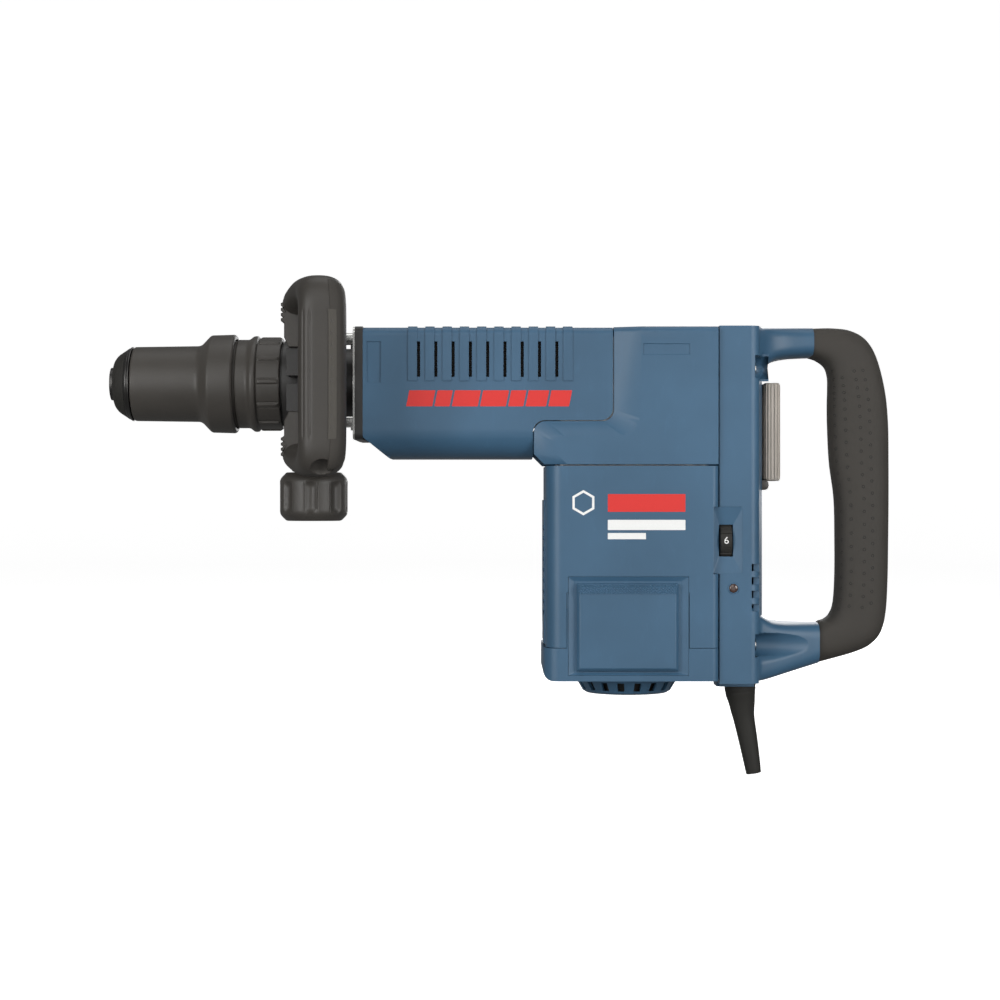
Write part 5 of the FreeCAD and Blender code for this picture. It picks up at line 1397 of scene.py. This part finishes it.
@dataclass
class CordSleeve:
    """Tapered sleeve under the rear frame: rings carried down a bent line. Lengths in millimetres."""

    line: tuple[tuple[float, float], ...] = (
        (482.3, -224.0), (482.4, -234.8), (483.5, -242.8), (484.3, -250.2), (485.5, -257.5), (488.3, -272.2),
        (490.9, -286.9), (492.8, -298.5))
    radii: tuple[float, ...] = (12.2, 11.75, 10.3, 9.1, 8.1, 7.3, 6.5, 5.75)
    bore: float = 4.3

    def build(self) -> None:
        """Carries a circle down the line, turns in at the mouth and goes back up as the bore."""
        spine = smooth_through(np.array(self.line), 12)
        radius = smooth_through(np.array(self.radii)[:, None], 12)[:, 0]
        slope = np.gradient(spine, axis=0)
        slope /= np.linalg.norm(slope, axis=1)[:, None]
        drop = np.linspace(0, 1, len(spine))
        groove = sum(np.exp(-((drop - at) / 0.006) ** 2) for at in (0.1, 0.16)) * 0.5
        outside, inside = radius - groove, np.full(len(spine) - 14, self.bore)
        spine_all = np.vstack([spine, spine[::-1][:len(inside)]])
        slope_all = np.vstack([slope, slope[::-1][:len(inside)]])
        radius_all = np.concatenate([outside, inside])
        turn = np.linspace(0, TAU, 64, endpoint=False)
        across = np.stack([-slope_all[:, 1], slope_all[:, 0]], axis=1)
        grid = np.empty((len(spine_all), len(turn), 3))
        reach = radius_all[:, None]
        grid[..., 0] = spine_all[:, :1] + across[:, :1] * reach * np.cos(turn)
        grid[..., 2] = spine_all[:, 1:] + across[:, 1:] * reach * np.cos(turn)
        grid[..., 1] = reach * np.sin(turn)
        dress(skin("tapered_cord_sleeve", grid * MM), "rubber", "body", ["cord_sleeve"], "dark_rubber")


@dataclass
class Controls:
    """Switch paddle, speed dial and service lamp. Lengths in millimetres."""

    paddle_low: float = -74.4
    paddle_high: float = 0.2
    paddle_front: float = 498.6
    paddle_back: float = 511.9
    paddle_half: float = 16.9
    ridge: float = 0.6
    dial: tuple[float, float, float] = (466.6, -33.6, -119.3)
    dial_radius: float = 15.9
    lamp: tuple[float, float] = (472.0, -154.8)

    def build(self) -> None:
        """Makes the three controls."""
        self.mould_paddle()
        self.mould_dial()
        self.print_number()
        self.mould_lamp()

    def mould_paddle(self) -> None:
        """Bar with ridges along it: a rounded box whose edge waves in and out, drawn in at both ends."""
        columns = 480
        depth, width = oval(columns, 4.5)
        middle = (self.paddle_front + self.paddle_back) / 2
        half = (self.paddle_back - self.paddle_front) / 2
        outline = np.stack([middle + half * depth, self.paddle_half * width], axis=1)
        step = np.linalg.norm(np.roll(outline, -1, axis=0) - outline, axis=1)
        travelled = np.concatenate([[0], np.cumsum(step)[:-1]])
        waves = round(step.sum() / 2.45)
        wave = np.clip(np.cos(travelled / step.sum() * TAU * waves) * 1.4, -1, 1)
        pull = np.stack([middle - outline[:, 0], -outline[:, 1]], axis=1)
        pull /= np.linalg.norm(pull, axis=1)[:, None]
        turn = np.linspace(0, math.pi / 2, 8)
        z = np.append(3.0 * (1 - np.cos(turn)), 3.5)
        inset = np.append(3.0 * (1 - np.sin(turn)), 0.0)
        fade = np.clip((z - 0.6) / 1.6, 0, 1)
        z = np.concatenate([self.paddle_low + z, self.paddle_high - z[::-1]])
        inset, fade = np.concatenate([inset, inset[::-1]]), np.concatenate([fade, fade[::-1]])
        dip = inset[:, None] + fade[:, None] * (1 - wave) / 2 * self.ridge * 1.6
        grid = np.empty((len(z), columns, 3))
        grid[..., 0] = outline[:, 0] + pull[:, 0] * dip
        grid[..., 1] = outline[:, 1] + pull[:, 1] * dip
        grid[..., 2] = z[:, None]
        dress(skin("ridged_switch_paddle", grid * MM), "grey_plastic", "switch_paddle", ["switch_paddle"])

    def mould_dial(self) -> None:
        """Thumb wheel with a notched rim: its radius dips in twenty narrow valleys."""
        x, y, z = self.dial
        rim = self.dial_radius
        run = rounded_run([(x + 4.6, 1.8), (x + 4.6, rim - 1.0, 0.4), (x + 3.9, rim, 0.8),
                           (x - 3.9, rim, 0.8), (x - 4.6, rim - 1.0, 0.4), (x - 4.6, 1.8)])
        run = densified(run, 1.0)
        turn = np.linspace(0, TAU, 480, endpoint=False)
        pitch = TAU / 20
        off = np.abs((turn + pitch / 2) % pitch - pitch / 2) * self.dial_radius
        valley = np.clip(1 - (off / 0.75) ** 2, 0, 1) * 0.7
        radius = run[:, 1:] - valley * (run[:, 1:] > self.dial_radius - 2)
        front = np.cos(turn) > math.cos(0.33)
        radius = np.where(front[None, :] & (run[:, 1:] > self.dial_radius - 2), run[:, 1:] - 0.05, radius)
        grid = np.stack([np.broadcast_to(run[:, :1], radius.shape), y - radius * np.cos(turn),
                         z + radius * np.sin(turn)], axis=-1)
        wheel = skin("notched_speed_dial", grid * MM, wrap_rows=True)
        dress(wheel, "black_plastic", "speed_dial", ["speed_dial"], "dark_rubber")

    def print_number(self) -> None:
        """The number 6 on the wheel's rim, bent to the rim's circle."""
        text = bpy.data.curves.new("digit", "FONT")
        text.body = "6"
        text.size = 7.4 * MM
        text.align_x, text.align_y = "CENTER", "CENTER"
        text.extrude = 0.06 * MM
        text.resolution_u = 6
        holder = bpy.data.objects.new("digit", text)
        bpy.context.scene.collection.objects.link(holder)
        bpy.context.view_layer.update()
        mesh = bpy.data.meshes.new_from_object(holder.evaluated_get(bpy.context.evaluated_depsgraph_get()))
        bpy.data.objects.remove(holder)
        flat = np.empty(len(mesh.vertices) * 3)
        mesh.vertices.foreach_get("co", flat)
        flat = flat.reshape(-1, 3)
        x, y, z = (c * MM for c in self.dial)
        reach = (self.dial_radius + 0.02) * MM + flat[:, 2]
        bend = flat[:, 1] / (self.dial_radius * MM)
        bent = np.stack([x + flat[:, 0] * 1.05, y - reach * np.cos(bend), z + reach * np.sin(bend)], axis=1)
        mesh.vertices.foreach_set("co", bent.ravel())
        mesh.update()
        piece = bpy.data.objects.new("dial_number", mesh)
        bpy.context.scene.collection.objects.link(piece)
        mesh.materials.clear()
        mesh.materials.append(FINISHES["print_white"])
        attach(piece, "speed_dial")

    def mould_lamp(self) -> None:
        """Domed lens in a thin bezel: circles of falling radius stacked outwards."""
        x, z = self.lamp
        turn = np.linspace(0, TAU, 40, endpoint=False)
        rise = np.linspace(0, math.pi / 2, 9)[:-1]
        radius = np.concatenate([[3.3, 3.3], 3.3 * np.cos(rise)])
        out = np.concatenate([[44.0, 48.2], 48.2 + 1.1 * np.sin(rise)])
        grid = np.stack([x + radius[:, None] * np.cos(turn), np.broadcast_to(-out[:, None], (len(out), 40)),
                         z + radius[:, None] * np.sin(turn)], axis=-1)
        dress(skin("service_lamp_dome", grid * MM), "lens_red", "body", ["indicator_lens"])
        ring = rounded_run([(3.35, 47.5), (3.35, 48.5, 0.2), (4.1, 48.5, 0.3), (4.4, 47.9), (4.4, 47.5)])
        grid = np.stack([x + ring[:, :1] * np.cos(turn), np.broadcast_to(-ring[:, 1:], (len(ring), 40)),
                         z + ring[:, :1] * np.sin(turn)], axis=-1)
        dress(skin("service_lamp_bezel", grid * MM, wrap_rows=True), "casing_blue", "body")


@dataclass
class Markings:
    """Plain printed marks on both sides of the casings. Lengths in millimetres."""

    hammer_face: float = 45.05
    motor_face: float = 54.05
    slant: float = 0.2
    stripe_z: tuple[float, float] = (-19.1, -7.1)
    stripe_starts: tuple[float, ...] = (227.9, 249.0, 262.0, 283.0, 304.0, 317.0, 334.0)
    stripe_ends: tuple[float, ...] = (247.4, 260.4, 281.4, 302.4, 315.4, 332.4, 349.5)
    red_bar: tuple[float, ...] = (378.0, -97.8, 435.6, -84.6)
    white_bars: tuple[tuple[float, ...], ...] = (
        (378.0, -111.3, 435.6, -103.7), (378.0, -118.1, 406.3, -113.5))
    hexagon: tuple[float, float] = (359.9, -91.0)
    hexagon_radii: tuple[float, float] = (9.4, 7.4)

    def bar(self, x0: float, z0: float, x1: float, z1: float, face: float, slant: float = 0.0, r: float = 0.6
            ) -> Array:
        """A bar with rounded corners, leaning back by the slant times its height.

        Args:
            x0: Left end at the foot.
            z0: Foot.
            x1: Right end at the foot.
            z1: Top.
            face: Y of the face that carries it.
            slant: Lean for each unit of height.
            r: Rounding of its corners.

        Returns:
            Its outline.
        """
        lean = (z1 - z0) * slant
        flat = rounded_run([(x0, z0, r), (x1, z0, r), (x1 + lean, z1, r), (x0 + lean, z1, r)])
        return np.stack([flat[:, 0], np.full(len(flat), face), flat[:, 1]], axis=1)

    def build(self) -> None:
        """Red slanted bars on the hammer cover, and a red and white block on the motor."""
        foot, top = self.stripe_z
        slanted = [self.bar(a, foot, b, top, side * self.hammer_face, self.slant)
                   for side in (-1, 1) for a, b in zip(self.stripe_starts, self.stripe_ends)]
        printed("hammer_cover_stripes", slanted, "body", "print_red")
        block = [self.bar(*self.red_bar, side * self.motor_face) for side in (-1, 1)]
        printed("motor_red_bar", block, "body", "print_red")
        white = [self.bar(*bar, side * self.motor_face, r=0.4) for side in (-1, 1) for bar in self.white_bars]
        (x, z), (outer, inner) = self.hexagon, self.hexagon_radii
        radius = np.array([outer, outer, inner, inner])
        for side in (-1, 1):
            for start in np.linspace(0, TAU, 7)[:-1] + math.pi / 6:
                angle = start + np.array([0, 1, 1, 0]) * math.pi / 3
                white.append(stacked(x + radius * np.cos(angle), side * self.motor_face,
                                     z + radius * np.sin(angle)))
        printed("motor_white_marks", white, "body", "print_white")


@dataclass
class Insides:
    """CAD nodes that keep their own meshes and only take a finish."""

    # The tool spindle's near-black steel is painted shade: it stands for the dark inside of the nose, where
    # its bright steel nose would glint.
    finishes: dict[str, str] = field(default_factory=lambda: {
        "paddle_pin": "dark_steel_and_painted_shade", "tool_spindle": "dark_steel_and_painted_shade"})

    def build(self) -> None:
        """Gives each node the finish of its slot in the record."""
        for part in frame["record"]["subparts"]:
            materials = frame["nodes"][part["node"]].data.materials
            materials.clear()
            materials.append(FINISHES[self.finishes.get(part["node"], part["material_slot"])])


def main() -> None:
    """Builds the studio, the finishes and every sub-assembly."""
    logging.basicConfig(level=logging.INFO, format="%(message)s")
    make_finishes()
    Studio().build()
    Insides().build()
    for assembly in (Casings(), RearArms(), CasingDetails(), ToolHolder(), RearGrip(), SideHandle(),
                     CordSleeve(), Controls(), Markings()):
        assembly.build()
        LOG.info("built %s", type(assembly).__name__)


if __name__ == "__main__":
    main()
